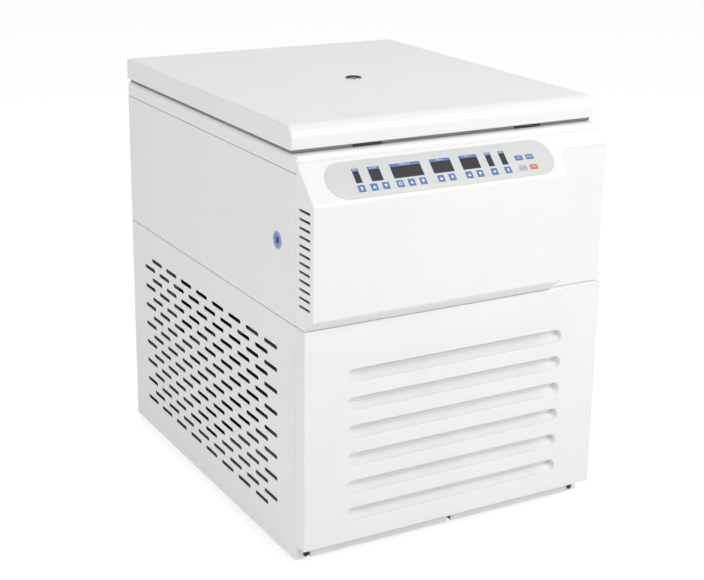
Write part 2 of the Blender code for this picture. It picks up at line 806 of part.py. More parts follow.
def make_rear_panel():
    """A flat sheet between the rear folds, with exhaust slots and the hole of the power entry."""
    panel = block(
        "rear_panel",
        (-X_FOLD, Y_REAR - SHEET, Z_BASE),
        (X_FOLD, Y_REAR, Z_RIM - SEAM / 2),
        PARTS,
    )
    loops = []
    for row in range(REAR_VENT_ROWS):
        for column in (-1, 0):
            x = column * REAR_VENT_COLUMN
            z = Z_BASE + REAR_VENT_LOW + row * REAR_VENT_PITCH
            loops.append(rectangle(x, z, REAR_VENT_LENGTH, REAR_VENT_HEIGHT))
    middle = Y_REAR - SHEET / 2
    cut(panel, slab("rear_vents", loops, SHEET + 2 * OVERRUN, facing_front(middle)))
    half_width = POWER_PLATE_WIDTH / 2 - POWER_BODY_INSET + CLEARANCE
    half_height = POWER_PLATE_HEIGHT / 2 - POWER_BODY_INSET + CLEARANCE
    low = (X_POWER - half_width, Y_REAR - SHEET - OVERRUN, Z_BASE + POWER_HEIGHT - half_height)
    high = (X_POWER + half_width, Y_REAR + OVERRUN, Z_BASE + POWER_HEIGHT + half_height)
    cut(panel, block("power_hole", low, high))
    coat(panel, WHITE_COAT)


def scoop(name, z, skin):
    """A slot outline that narrows towards its upper edge as it goes in, grown by a skin."""
    height = LOUVRE_HEIGHT + 2 * skin
    outline = oblong(0, z, LOUVRE_LENGTH + 2 * skin, height, LOUVRE_END_STEPS)
    thickness = LOUVRE_DEPTH + skin + OVERRUN
    centre = Y_PANEL - OVERRUN + thickness / 2
    obj = slab(name, [outline], thickness, facing_front(centre))
    upper = z + height / 2
    narrowing = (LOUVRE_BACK_HEIGHT + 2 * skin) / height
    bm = bmesh.new()
    bm.from_mesh(obj.data)
    for vertex in bm.verts:
        if vertex.co.z < 0:
            vertex.co.y = upper + (vertex.co.y - upper) * narrowing
    bmesh.ops.triangulate(bm, faces=bm.faces)
    bm.to_mesh(obj.data)
    bm.free()
    return obj


def make_lower_front_panel():
    """A shallow tray with louvres pressed inwards; each scoop is open at its ceiling."""
    z_low, z_high = Z_BASE + FRONT_PANEL_BOTTOM, Z_SEAM - SEAM / 2
    panel = block(
        "lower_front_panel",
        (-X_SIDE, Y_PANEL, z_low),
        (X_SIDE, Y_FRONT - CLEARANCE, z_high),
        PARTS,
        FRONT_PANEL_EDGE,
        EDGE_STEPS,
        lambda middle, way: middle.y < Y_FRONT - FRONT_PANEL_DEPTH / 2,
    )
    wall = FRONT_PANEL_WALL
    inside = block(
        "front_panel_inside",
        (-X_SIDE + wall, Y_PANEL + wall, z_low + wall),
        (X_SIDE - wall, Y_FRONT + OVERRUN, z_high - wall),
    )
    cut(panel, inside)
    hoods = []
    hollows = []
    for index in range(LOUVRE_COUNT):
        z = Z_BASE + LOUVRE_TOP - index * LOUVRE_PITCH
        hood = scoop(f"louvre_hood_{index + 1}", z, LOUVRE_SKIN)
        front = block(
            f"louvre_trim_{index + 1}",
            (-X_SIDE, Y_PANEL - 2 * OVERRUN, z - LOUVRE_PITCH / 2),
            (X_SIDE, Y_PANEL + wall / 2, z + LOUVRE_PITCH / 2),
        )
        hoods.append(cut(hood, front))
        hollows.append(scoop(f"louvre_hollow_{index + 1}", z, 0))
        ceiling = z + LOUVRE_HEIGHT / 2
        reach = LOUVRE_LENGTH / 2 - LOUVRE_SLIT_INSET
        low = (-reach, Y_PANEL + wall + OVERRUN, ceiling - OVERRUN)
        high = (reach, Y_PANEL + LOUVRE_DEPTH - LOUVRE_SKIN, ceiling + LOUVRE_SKIN + OVERRUN)
        hollows.append(block(f"louvre_slit_{index + 1}", low, high))
    join(panel, *hoods)
    cut(panel, *hollows)
    coat(panel, WHITE_COAT)


def console_outline(inset, back):
    """The console's side outline, drawn in by an inset, with its open back at a given y."""
    bend = CONSOLE_BEND - inset
    chin = Y_FRONT - CONSOLE_CHIN_DEPTH
    slope_shift = inset / math.cos(SLOPE_ANGLE)
    chin_angle = math.atan2(CONSOLE_CHIN, CONSOLE_DEPTH - CONSOLE_CHIN_DEPTH)
    chin_shift = inset / math.cos(chin_angle)
    z_low = Z_SEAM + SEAM / 2
    front = Y_CONSOLE + inset
    slope_at_front = Z_CONSOLE - CONSOLE_DROP - slope_shift + inset * math.tan(SLOPE_ANGLE)
    chin_at_front = z_low + CONSOLE_CHIN + chin_shift - inset * math.tan(chin_angle)
    chin_end = chin + (chin_shift - inset) / math.tan(chin_angle)
    flat = SLOPE_TOP.y + (slope_shift - inset) / math.tan(SLOPE_ANGLE) * (1 if inset else 0)
    return filleted(
        [
            (back, Z_CONSOLE - inset, 0, 0),
            (flat, Z_CONSOLE - inset, 0, 0),
            (front, slope_at_front, bend, CONSOLE_BEND_STEPS),
            (front, chin_at_front, bend, CONSOLE_BEND_STEPS),
            (chin_end, z_low + inset, 0, 0),
            (back, z_low + inset, 0, 0),
        ]
    )


def recess_cutter(name, inset):
    """The space right of the console's box, with its round upper corner, less a wall's inset."""
    left = X_CONSOLE - inset
    right = X_SIDE + OVERRUN
    reach = FRONT_PANEL_DEPTH - RECESS_SETBACK - CONSOLE_TOP_FLAT
    corner_drop = reach * math.tan(SLOPE_ANGLE)
    corner_top = Z_CONSOLE - corner_drop + inset + OVERRUN
    low = Z_SEAM - OVERRUN
    radius = RECESS_CORNER + inset
    outline = [(right, low), (right, corner_top)]
    centre = (left + radius, corner_top - radius)
    outline += arc(centre, radius, math.pi / 2, math.pi, RECESS_CORNER_STEPS)
    outline += [(left, low)]
    back = Y_PANEL + RECESS_SETBACK + inset
    depth = back - (Y_CONSOLE - OVERRUN)
    return slab(name, [outline], depth, facing_front(back - depth / 2))


def slope_block(name, left, right, top, bottom, under, over, where=CUTTERS):
    """A box on the console's slope; top and bottom are measured down the slope."""
    obj = block(name, (left, -bottom, under), (right, -top, over), where)
    obj.matrix_world = SLOPE
    return obj


def make_console():
    """The fascia: an open-backed moulding with a recess at its right and slots in its left wall."""
    width = CABINET_WIDTH
    outline = console_outline(0, Y_FRONT - CLEARANCE)
    console = slab("console_fascia", [outline], width, facing_side(0), PARTS)
    bm = bmesh.new()
    bm.from_mesh(console.data)
    round_edges(bm, CONSOLE_EDGE, EDGE_STEPS, lambda middle, way: on_side_rim(middle, way, width))
    bm.to_mesh(console.data)
    bm.free()
    inner = console_outline(CONSOLE_WALL, Y_FRONT + OVERRUN)
    inside = slab("console_inside", [inner], width - 2 * CONSOLE_WALL, facing_side(0))
    cut(inside, recess_cutter("console_inner_recess", CONSOLE_WALL))
    cut(console, recess_cutter("console_recess", 0), inside)
    loops = []
    for index in range(CONSOLE_VENT_COUNT):
        y = Y_FRONT - CONSOLE_VENT_SETBACK - CONSOLE_VENT_LENGTH / 2
        z = Z_RIM - CONSOLE_VENT_TOP - index * CONSOLE_VENT_PITCH
        loops.append(rectangle(y, z, CONSOLE_VENT_LENGTH, CONSOLE_VENT_HEIGHT))
    middle = -X_SIDE + CONSOLE_WALL / 2
    cut(console, slab("console_vents", loops, CONSOLE_WALL + 2 * OVERRUN, facing_side(middle)))
    pocket = overlay_outline(CLEARANCE)
    seat = SLOPE @ Matrix.Translation((0, 0, (OVERLAY_SEAT - CLEARANCE + OVERRUN) / 2))
    cut(console, slab("overlay_pocket", [pocket], OVERRUN - OVERLAY_SEAT + CLEARANCE, seat))
    left, right, top, bottom = keybed()
    cut(console, slope_block("keybed", left, right, top, bottom, BOARD_FACE - OVERRUN, OVERRUN))
    coat(console, PLASTIC_WHITE)


def on_side_rim(middle, way, width):
    """True for an edge round the console's left or right side, apart from its open back."""
    at_side = abs(abs(middle.z) - width / 2) < CLEARANCE and abs(way.z) < FLAT_SHARE
    return at_side and middle.x < Y_FRONT - 2 * CLEARANCE


def overlay_outline(grow):
    centre = (OVERLAY_LEFT + OVERLAY_RIGHT) / 2
    along = -OVERLAY_TOP_MARGIN - OVERLAY_HEIGHT / 2
    length, height = OVERLAY_LENGTH + 2 * grow, OVERLAY_HEIGHT + 2 * grow
    return oblong(centre, along, length, height, OVERLAY_END_STEPS)


def keybed():
    """Left, right, top and bottom of the hole behind the windows and keys."""
    left = OVERLAY_LEFT + KEYBED_LEFT_MARGIN
    right = OVERLAY_RIGHT - KEYBED_RIGHT_MARGIN
    top = OVERLAY_TOP_MARGIN + WINDOW_TOP - KEYBED_TOP_MARGIN
    bottom = OVERLAY_TOP_MARGIN + KEY_ROW + KEY_HEIGHT / 2 + KEYBED_BOTTOM_MARGIN
    return left, right, top, bottom


def window_places():
    """(centre, width, number of keys) of each window, left to right."""
    for share, width, keys in zip(WINDOW_CENTRE_SHARES, WINDOW_WIDTHS, WINDOW_KEYS):
        yield OVERLAY_LEFT + share * OVERLAY_LENGTH, width, keys


def key_places():
    """(name, x, distance down the slope, width, height, look) of each key."""
    places = []
    row = OVERLAY_TOP_MARGIN + KEY_ROW
    for centre, _, keys in window_places():
        for index in range(keys):
            x = centre + (index - (keys - 1) / 2) * KEY_PITCH
            places.append((f"key_{len(places) + 1}", x, row, KEY_WIDTH, KEY_HEIGHT, PLASTIC_BLUE))
    centre = OVERLAY_LEFT + FUNCTION_CENTRE_SHARE * OVERLAY_LENGTH
    named = (
        ("key_blue_left", -1, 1, PLASTIC_BLUE),
        ("key_blue_right", 1, 1, PLASTIC_BLUE),
        ("key_grey", -1, 0, PLASTIC_DULL),
        ("key_red", 1, 0, PLASTIC_RED),
    )
    for name, side, rank, look in named:
        x = centre + side * FUNCTION_PITCH / 2
        down = row - rank * FUNCTION_ROW_PITCH
        places.append((name, x, down, FUNCTION_WIDTH, FUNCTION_HEIGHT, look))
    return places


def make_overlay():
    loops = [overlay_outline(0)]
    middle = -OVERLAY_TOP_MARGIN - WINDOW_TOP - WINDOW_HEIGHT / 2
    for centre, width, _ in window_places():
        loops.append(rectangle(centre, middle, width, WINDOW_HEIGHT))
    for _, x, down, width, height, _ in key_places():
        loops.append(rectangle(x, -down, width + 2 * CLEARANCE, height + 2 * CLEARANCE))
    seat = SLOPE @ Matrix.Translation((0, 0, OVERLAY_SEAT + OVERLAY_THICKNESS / 2))
    overlay = slab("control_overlay", loops, OVERLAY_THICKNESS, seat, PARTS)
    coat(overlay, PLASTIC_GREY)


def make_display_board():
    """A board behind the fascia whose display blocks stand up into the windows."""
    left, right, top, bottom = keybed()
    board = slope_block(
        "display_board",
        left - BOARD_MARGIN,
        right + BOARD_MARGIN,
        top - BOARD_MARGIN,
        bottom + BOARD_MARGIN,
        BOARD_FACE - BOARD_THICKNESS,
        BOARD_FACE,
        PARTS,
    )
    window_top = OVERLAY_TOP_MARGIN + WINDOW_TOP
    for index, (centre, width, _) in enumerate(window_places()):
        half = width / 2 - CLEARANCE
        display = slope_block(
            f"display_{index + 1}",
            centre - half,
            centre + half,
            window_top + CLEARANCE,
            window_top + WINDOW_HEIGHT - CLEARANCE,
            BOARD_FACE - BOARD_THICKNESS / 2,
            OVERLAY_PROUD - WINDOW_RECESS,
        )
        join(board, display)
    coat(board, WINDOW_DARK)


def make_keys():
    """Each key stands in its own hole of the overlay, above its switch on the board."""
    low = BOARD_FACE + KEY_TRAVEL + CLEARANCE
    high = OVERLAY_PROUD + KEY_PROUD
    for name, x, down, width, height, look in key_places():
        key = block(
            name,
            (-width / 2, -height / 2, low),
            (width / 2, height / 2, high),
            PARTS,
            KEY_EDGE,
            FINE_STEPS,
            lambda middle, way: is_upright(way),
        )
        key.matrix_world = SLOPE @ Matrix.Translation((x, -down, 0))
        coat(key, look)


def make_top_frame():
    """The rim: a moulding open below, with the chamber opening and the two lock openings."""
    frame = block(
        "top_frame",
        (-X_SIDE, Y_FRONT, Z_RIM + SEAM / 2),
        (X_SIDE, Y_REAR, Z_RIM_TOP),
        PARTS,
        FRAME_EDGE,
        EDGE_STEPS,
        lambda middle, way: middle.z > Z_RIM + SEAM,
    )
    inside = block(
        "frame_inside",
        (-X_SIDE + FRAME_WALL, Y_FRONT + FRAME_WALL, Z_RIM - OVERRUN),
        (X_SIDE - FRAME_WALL, Y_REAR - FRAME_WALL, Z_FRAME_UNDER),
    )
    cut(frame, inside)
    opening = BOWL_RADIUS + BOWL_SHEET + CLEARANCE
    ledge = BOWL_RADIUS + BOWL_FLANGE + CLEARANCE
    z_ledge = Z_RIM_TOP - BOWL_SHEET - CLEARANCE
    axis_low = CHAMBER_AXIS + Vector((0, 0, Z_RIM - OVERRUN))
    axis_ledge = CHAMBER_AXIS + Vector((0, 0, z_ledge))
    axis_high = CHAMBER_AXIS + Vector((0, 0, Z_RIM_TOP + OVERRUN))
    cut(frame, bar("frame_opening", opening, axis_low, axis_high, CHAMBER_STEPS))
    cut(frame, bar("frame_ledge", ledge, axis_ledge, axis_high, CHAMBER_STEPS))
    for name, x in (("left", -X_LATCH), ("right", X_LATCH)):
        half_width = LOCK_COLLAR_WIDTH / 2 + CLEARANCE
        half_depth = LOCK_COLLAR_DEPTH / 2 + CLEARANCE
        low = (x - half_width, Y_LATCH - half_depth, Z_RIM)
        high = (x + half_width, Y_LATCH + half_depth, Z_RIM_TOP + OVERRUN)
        cut(frame, block(f"lock_opening_{name}", low, high))
    coat(frame, WHITE_COAT)


def make_bowl():
    """The chamber: a deep bowl hung by its flange, with a raised collar round the motor's neck."""
    outer = BOWL_RADIUS + BOWL_SHEET
    hole = NECK_TOP_RADIUS + NECK_CLEARANCE
    floor = Z_BOWL_FLOOR
    under = floor - BOWL_SHEET
    bend = (BOWL_RADIUS - BOWL_CORNER, floor + BOWL_CORNER)
    bend_outer = arc(bend, BOWL_CORNER + BOWL_SHEET, 0, -math.pi / 2, BOWL_CORNER_STEPS)
    bend_inner = arc(bend, BOWL_CORNER, -math.pi / 2, 0, BOWL_CORNER_STEPS)
    profile = [
        (BOWL_RADIUS + BOWL_FLANGE, Z_RIM_TOP),
        (BOWL_RADIUS + BOWL_FLANGE, Z_RIM_TOP - BOWL_SHEET),
        (outer, Z_RIM_TOP - BOWL_SHEET),
        *bend_outer,
        (hole + BOWL_COLLAR_WIDTH, under),
        (hole, under + BOWL_COLLAR_HEIGHT),
        (hole, floor + BOWL_COLLAR_HEIGHT),
        (hole + BOWL_COLLAR_WIDTH, floor),
        *bend_inner,
        (BOWL_RADIUS, Z_RIM_TOP),
    ]
    coat(turned("chamber_bowl", profile, CHAMBER_STEPS, PARTS), STAINLESS)


def make_chamber_seal():
    inner = BOWL_RADIUS + SEAL_INSET
    outer = inner + SEAL_WIDTH
    low, high = Z_RIM_TOP + CLEARANCE, Z_LID - CLEARANCE
    profile = [
        (outer - SEAL_CHAMFER, high),
        (outer, high - SEAL_CHAMFER),
        (outer, low),
        (inner, low),
        (inner, high - SEAL_CHAMFER),
        (inner + SEAL_CHAMFER, high),
    ]
    coat(turned("chamber_seal", profile, CHAMBER_STEPS, PARTS), RUBBER_GREY)


def make_evaporator_coil():
    """A copper tube wound round the bowl's wall."""
    radius = BOWL_RADIUS + BOWL_SHEET + CLEARANCE + COIL_TUBE_RADIUS
    curve = bpy.data.curves.new("evaporator_coil", "CURVE")
    curve.dimensions = "3D"
    curve.bevel_depth = COIL_TUBE_RADIUS
    curve.bevel_resolution = 0
    curve.use_fill_caps = True
    count = COIL_TURNS * CHAMBER_STEPS + 1
    spline = curve.splines.new("POLY")
    spline.points.add(count - 1)
    for index, point in enumerate(spline.points):
        angle = math.tau * index / CHAMBER_STEPS
        z = Z_BOWL_FLOOR + COIL_START + COIL_PITCH * index / CHAMBER_STEPS
        point.co = (radius * math.cos(angle), radius * math.sin(angle), z, 1)
    coil = solid_from_curve("evaporator_coil", curve, Matrix.Translation(CHAMBER_AXIS), PARTS)
    coat(coil, COPPER)


def insulation_bore():
    return BOWL_RADIUS + BOWL_SHEET + 2 * COIL_TUBE_RADIUS + 2 * CLEARANCE


def make_insulation():
    bore = insulation_bore()
    outer = bore + INSULATION_THICKNESS
    floor = Z_BOWL_FLOOR - BOWL_SHEET - CLEARANCE
    profile = [
        (outer, Z_FRAME_UNDER - CLEARANCE),
        (outer, Z_DECK + CLEARANCE),
        (INSULATION_HOLE, Z_DECK + CLEARANCE),
        (INSULATION_HOLE, floor),
        (bore, floor),
        (bore, Z_FRAME_UNDER - CLEARANCE),
    ]
    coat(turned("insulation", profile, CHAMBER_STEPS, PARTS), FOAM)


def make_armour_deck():
    """The thick guard ring round the chamber, welded to the deck that carries the drive."""
    y_front, y_rear = Y_FRONT + SHEET + CLEARANCE, Y_REAR - SHEET - CLEARANCE
    z_low = Z_DECK - DECK_FLANGE
    deck = block("armour_deck", (-X_INNER, y_front, z_low), (X_INNER, y_rear, Z_DECK), PARTS)
    wall = DECK_THICKNESS / 2
    hollow = block(
        "deck_hollow",
        (-X_INNER + wall, y_front + wall, z_low - OVERRUN),
        (X_INNER - wall, y_rear - wall, Z_DECK_UNDER),
    )
    cut(deck, hollow)
    inner = insulation_bore() + INSULATION_THICKNESS + CLEARANCE
    outer = inner + ARMOUR_WALL
    profile = [
        (outer, Z_FRAME_UNDER - CLEARANCE),
        (outer, Z_DECK - DECK_THICKNESS / 2),
        (inner, Z_DECK - DECK_THICKNESS / 2),
        (inner, Z_FRAME_UNDER - CLEARANCE),
    ]
    join(deck, turned("guard_ring", profile, CHAMBER_STEPS))
    low = CHAMBER_AXIS + Vector((0, 0, z_low - OVERRUN))
    high = CHAMBER_AXIS + Vector((0, 0, Z_DECK + OVERRUN))
    cut(deck, bar("deck_hole", DECK_HOLE, low, high, DRIVE_STEPS))
    coat(deck, PAINT_BLACK)


def make_motor():
    """The drive motor, hung under the deck, with its neck reaching into the bowl."""
    neck_top = Z_BOWL_FLOOR + BOWL_COLLAR_HEIGHT + NECK_RISE
    flange_top = Z_DECK_UNDER - DAMPER_THICKNESS
    flange_low = flange_top - MOTOR_FLANGE_THICKNESS
    body_low = flange_low - MOTOR_LENGTH
    bore = roomy(SHAFT_RADIUS, SHAFT_STEPS)
    bore_low = neck_top - SHAFT_DEPTH - CLEARANCE
    profile = [
        (0, bore_low),
        (bore, bore_low),
        (bore, neck_top),
        (NECK_TOP_RADIUS, neck_top),
        (NECK_TOP_RADIUS, neck_top - NECK_TAPER_HEIGHT),
        (NECK_RADIUS, neck_top - 2 * NECK_TAPER_HEIGHT),
        (NECK_RADIUS, flange_top),
        (MOTOR_FLANGE_RADIUS, flange_top),
        (MOTOR_FLANGE_RADIUS, flange_low),
        (MOTOR_RADIUS, flange_low),
        (MOTOR_RADIUS, body_low),
        (MOTOR_FOOT_RADIUS, body_low - MOTOR_FOOT_LENGTH),
        (0, body_low - MOTOR_FOOT_LENGTH),
    ]
    motor = turned("drive_motor", profile, DRIVE_STEPS, PARTS, closed=False)
    coat(motor, ALUMINIUM)
    high, low = Z_DECK_UNDER - CLEARANCE, flange_top + CLEARANCE
    middle = (high + low) / 2
    ring = [
        (MOTOR_FLANGE_RADIUS, high),
        (MOTOR_FLANGE_RADIUS - DAMPER_WAIST, middle),
        (MOTOR_FLANGE_RADIUS, low),
        (DAMPER_INNER_RADIUS, low),
        (DAMPER_INNER_RADIUS, high),
    ]
    coat(turned("motor_damper", ring, DRIVE_STEPS, PARTS), RUBBER)


def make_shaft():
    """The spindle: a shaft in the motor, a driving collar, and a tapered nose for the rotor."""
    bottom = Z_BOWL_FLOOR + BOWL_COLLAR_HEIGHT + NECK_RISE - SHAFT_DEPTH
    collar_low = Z_ROTOR - CLEARANCE - SHAFT_COLLAR_THICKNESS
    top = Z_ROTOR + ROTOR_HUB_TOP + SPINDLE_STANDOUT
    hole = roomy(STUD_RADIUS, SHAFT_STEPS)
    profile = [
        (0, top - STUD_HOLE_DEPTH),
        (hole, top - STUD_HOLE_DEPTH),
        (hole, top),
        (SPINDLE_TOP_RADIUS, top),
        (SPINDLE_RADIUS, Z_ROTOR - CLEARANCE),
        (SHAFT_COLLAR_RADIUS, Z_ROTOR - CLEARANCE),
        (SHAFT_COLLAR_RADIUS, collar_low),
        (SHAFT_RADIUS, collar_low),
        (SHAFT_RADIUS, bottom),
        (0, bottom),
    ]
    coat(turned("drive_shaft", profile, SHAFT_STEPS, PARTS, closed=False), ZINC_STEEL)


def make_rotor():
    """A fixed-angle rotor: a turned body, then tilted tube pockets square to its inner cone."""
    rise = (ROTOR_RIM_INNER - ROTOR_HUB_RADIUS) * math.tan(POCKET_ANGLE)
    bore_low = roomy(SPINDLE_RADIUS, SHAFT_STEPS)
    bore_high = roomy(SPINDLE_TOP_RADIUS + CLEARANCE, SHAFT_STEPS)
    profile = [
        (ROTOR_RIM_OUTER, ROTOR_HEIGHT),
        (ROTOR_RADIUS, ROTOR_SHOULDER_HEIGHT),
        (ROTOR_RADIUS, ROTOR_SKIRT_HEIGHT),
        (ROTOR_FOOT_RADIUS, 0),
        (ROTOR_RELIEF_RADIUS, 0),
        (ROTOR_RELIEF_TOP_RADIUS, ROTOR_RELIEF_HEIGHT),
        (ROTOR_HUB_RADIUS, ROTOR_RELIEF_HEIGHT),
        (ROTOR_HUB_RADIUS, 0),
        (bore_low, 0),
        (bore_high, ROTOR_HUB_TOP),
        (ROTOR_HUB_RADIUS, ROTOR_HUB_TOP),
        (ROTOR_RIM_INNER, ROTOR_HUB_TOP + rise),
        (ROTOR_RIM_INNER, ROTOR_HEIGHT),
    ]
    place = CHAMBER_AXIS + Vector((0, 0, Z_ROTOR))
    rotor = turned("rotor", profile, ROTOR_STEPS, PARTS, place)
    mouth_height = ROTOR_HUB_TOP + (POCKET_CIRCLE - ROTOR_HUB_RADIUS) * math.tan(POCKET_ANGLE)
    for index in range(POCKET_COUNT):
        turn = Matrix.Rotation(math.tau * index / POCKET_COUNT, 3, "Z")
        mouth = turn @ Vector((POCKET_CIRCLE, 0, mouth_height))
        inward = turn @ Vector((math.sin(POCKET_ANGLE), 0, -math.cos(POCKET_ANGLE)))
        start = place + mouth - inward * POCKET_RADIUS
        end = place + mouth + inward * POCKET_DEPTH
        cut(rotor, bar(f"pocket_{index + 1}", POCKET_RADIUS, start, end, POCKET_SIDES))
    coat(rotor, ANODISED)


def make_rotor_lid():
    """A dished cover that sits on the rotor's rim with a spigot inside it."""
    low = ROTOR_HEIGHT + CLEARANCE
    edge = low + ROTOR_LID_EDGE
    crown = edge + ROTOR_LID_CROWN
    hole = roomy(STUD_RADIUS, SHAFT_STEPS)
    spigot = ROTOR_RIM_INNER - 2 * CLEARANCE
    profile = [
        (ROTOR_LID_CROWN_RADIUS, crown),
        (ROTOR_RIM_OUTER, edge),
        (ROTOR_RIM_OUTER, low),
        (spigot, low),
        (spigot, low - ROTOR_LID_SPIGOT),
        (spigot - ROTOR_LID_SKIN, low - ROTOR_LID_SPIGOT),
        (ROTOR_LID_CROWN_RADIUS, crown - ROTOR_LID_SKIN),
        (hole, crown - ROTOR_LID_SKIN),
        (hole, crown),
    ]
    place = CHAMBER_AXIS + Vector((0, 0, Z_ROTOR))
    coat(turned("rotor_lid", profile, ROTOR_STEPS, PARTS, place), ALUMINIUM)


def make_rotor_knob():
    """A lobed hand knob whose stud passes through the rotor lid into the spindle."""
    points = []
    steps = KNOB_LOBES * KNOB_LOBE_STEPS
    for index in range(steps):
        angle = math.tau * index / steps
        radius = KNOB_RADIUS - KNOB_LOBE + KNOB_LOBE * math.cos(KNOB_LOBES * angle)
        points.append((radius * math.cos(angle), radius * math.sin(angle)))
    base = Z_ROTOR + ROTOR_HEIGHT + ROTOR_LID_EDGE + ROTOR_LID_CROWN + 2 * CLEARANCE
    middle = Matrix.Translation(CHAMBER_AXIS + Vector((0, 0, base + KNOB_HEIGHT / 2)))
    knob = slab("rotor_knob", [points], KNOB_HEIGHT, middle, PARTS)
    bm = bmesh.new()
    bm.from_mesh(knob.data)
    round_edges(bm, KNOB_EDGE, FINE_STEPS, lambda spot, way: spot.z > KNOB_HEIGHT / 2 - CLEARANCE)
    bm.to_mesh(knob.data)
    bm.free()
    low = CHAMBER_AXIS + Vector((0, 0, base - STUD_LENGTH))
    high = CHAMBER_AXIS + Vector((0, 0, base + KNOB_HEIGHT / 2))
    join(knob, bar("knob_stud", STUD_RADIUS, low, high, SHAFT_STEPS))
    coat(knob, PLASTIC_BLACK)


def lid_outline(inset, low):
    """The lid's side outline drawn in by an inset, down to a given height."""
    front, rear, top = Y_LID_FRONT + inset, Y_REAR - inset, Z_LID_TOP - inset
    hem = 0 if inset else LID_HEM_RADIUS
    return filleted(
        [
            (front, low, hem, LID_HEM_STEPS),
            (rear, low, hem, LID_HEM_STEPS),
            (rear, top, LID_REAR_RADIUS - inset, LID_REAR_STEPS),
            (front, top, LID_FRONT_RADIUS - inset, LID_FRONT_STEPS),
        ]
    )


def port_hole(name, obj):
    """Cuts the view port's hole through a piece of the lid."""
    low = CHAMBER_AXIS + Vector((0, 0, Z_LID - HINGE_ARM_THICKNESS - OVERRUN))
    high = CHAMBER_AXIS + Vector((0, 0, Z_LID_TOP + OVERRUN))
    cut(obj, bar(name, PORT_TUBE_RADIUS + CLEARANCE, low, high, PORT_STEPS))


def make_lid(hinge):
    shell = slab("lid_shell", [lid_outline(0, Z_LID)], CABINET_WIDTH, facing_side(0), PARTS)
    bm = bmesh.new()
    bm.from_mesh(shell.data)
    half = CABINET_WIDTH / 2 - CLEARANCE
    round_edges(bm, LID_SIDE_EDGE, EDGE_STEPS, lambda middle, way: on_lid_rim(middle, way, half))
    bm.to_mesh(shell.data)
    bm.free()
    outline = lid_outline(LID_WALL, Z_LID - OVERRUN)
    cut(shell, slab("lid_inside", [outline], CABINET_WIDTH - 2 * LID_WALL, facing_side(0)))
    port_hole("shell_port", shell)
    coat(shell, WHITE_COAT)

    core_width = CABINET_WIDTH - 2 * LID_WALL - 2 * CLEARANCE
    core_low = Z_LID + LINER_SHEET + CLEARANCE
    outline = lid_outline(LID_WALL + CLEARANCE, core_low)
    core = slab("lid_core", [outline], core_width, facing_side(0), PARTS)
    port_hole("core_port", core)
    coat(core, FOAM)

    liner = make_liner()
    sleeve, glass = make_port()
    for piece in (shell, core, liner, sleeve, glass):
        follow(piece, hinge)


def on_lid_rim(middle, way, half):
    """True for an edge round the lid's left or right end, apart from its lower hem."""
    return abs(middle.z) > half and abs(way.z) < FLAT_SHARE and middle.y > Z_LID


def make_liner():
    """The lid's inner plate, with two hinge arms and two strikers welded to it."""
    x = X_SIDE - LID_WALL - CLEARANCE
    y_front, y_rear = Y_LID_FRONT + LID_WALL + CLEARANCE, Y_REAR - LID_WALL - CLEARANCE
    liner = block("lid_liner", (-x, y_front, Z_LID), (x, y_rear, Z_LID + LINER_SHEET), PARTS)
    port_hole("liner_port", liner)
    arm_high = Z_LID - CLEARANCE
    arm_low = arm_high - HINGE_ARM_THICKNESS
    for name, x in (("left", -X_HINGE), ("right", X_HINGE)):
        left, right = x - HINGE_ARM_WIDTH / 2, x + HINGE_ARM_WIDTH / 2
        low = (left, Y_REAR - HINGE_ARM_LENGTH, arm_low)
        arm = block(f"arm_{name}", low, (right, Y_HINGE, arm_high))
        pad_low = arm_low + HINGE_ARM_THICKNESS / 2
        pad = block(
            f"arm_pad_{name}",
            (left, Y_REAR - HINGE_ARM_LENGTH, pad_low),
            (right, y_rear - CLEARANCE, Z_LID + LINER_SHEET / 2),
        )
        start, end = (left, Y_HINGE, Z_HINGE), (right, Y_HINGE, Z_HINGE)
        eye = bar(f"arm_eye_{name}", HINGE_EYE_RADIUS, start, end, HINGE_STEPS)
        join(liner, join(join(arm, pad), eye))
        start = (left - OVERRUN, Y_HINGE, Z_HINGE)
        end = (right + OVERRUN, Y_HINGE, Z_HINGE)
        bore = roomy(HINGE_PIN_RADIUS, HINGE_STEPS)
        cut(liner, bar(f"arm_bore_{name}", bore, start, end, HINGE_STEPS))
    tip = Z_LID - STRIKER_LENGTH
    notch_low = tip + STRIKER_TOOTH
    for name, x in (("left", -X_LATCH), ("right", X_LATCH)):
        left, right = x - STRIKER_WIDTH / 2, x + STRIKER_WIDTH / 2
        y_low, y_high = Y_LATCH - STRIKER_THICKNESS / 2, Y_LATCH + STRIKER_THICKNESS / 2
        striker = block(f"striker_{name}", (left, y_low, tip), (right, y_high, Z_LID + LINER_SHEET / 2))
        notch = block(
            f"striker_notch_{name}",
            (right - STRIKER_NOTCH_WIDTH, y_low - OVERRUN, notch_low),
            (right + OVERRUN, y_high + OVERRUN, notch_low + STRIKER_NOTCH_HEIGHT),
        )
        join(liner, cut(striker, notch))
    return coat(liner, ZINC_STEEL)


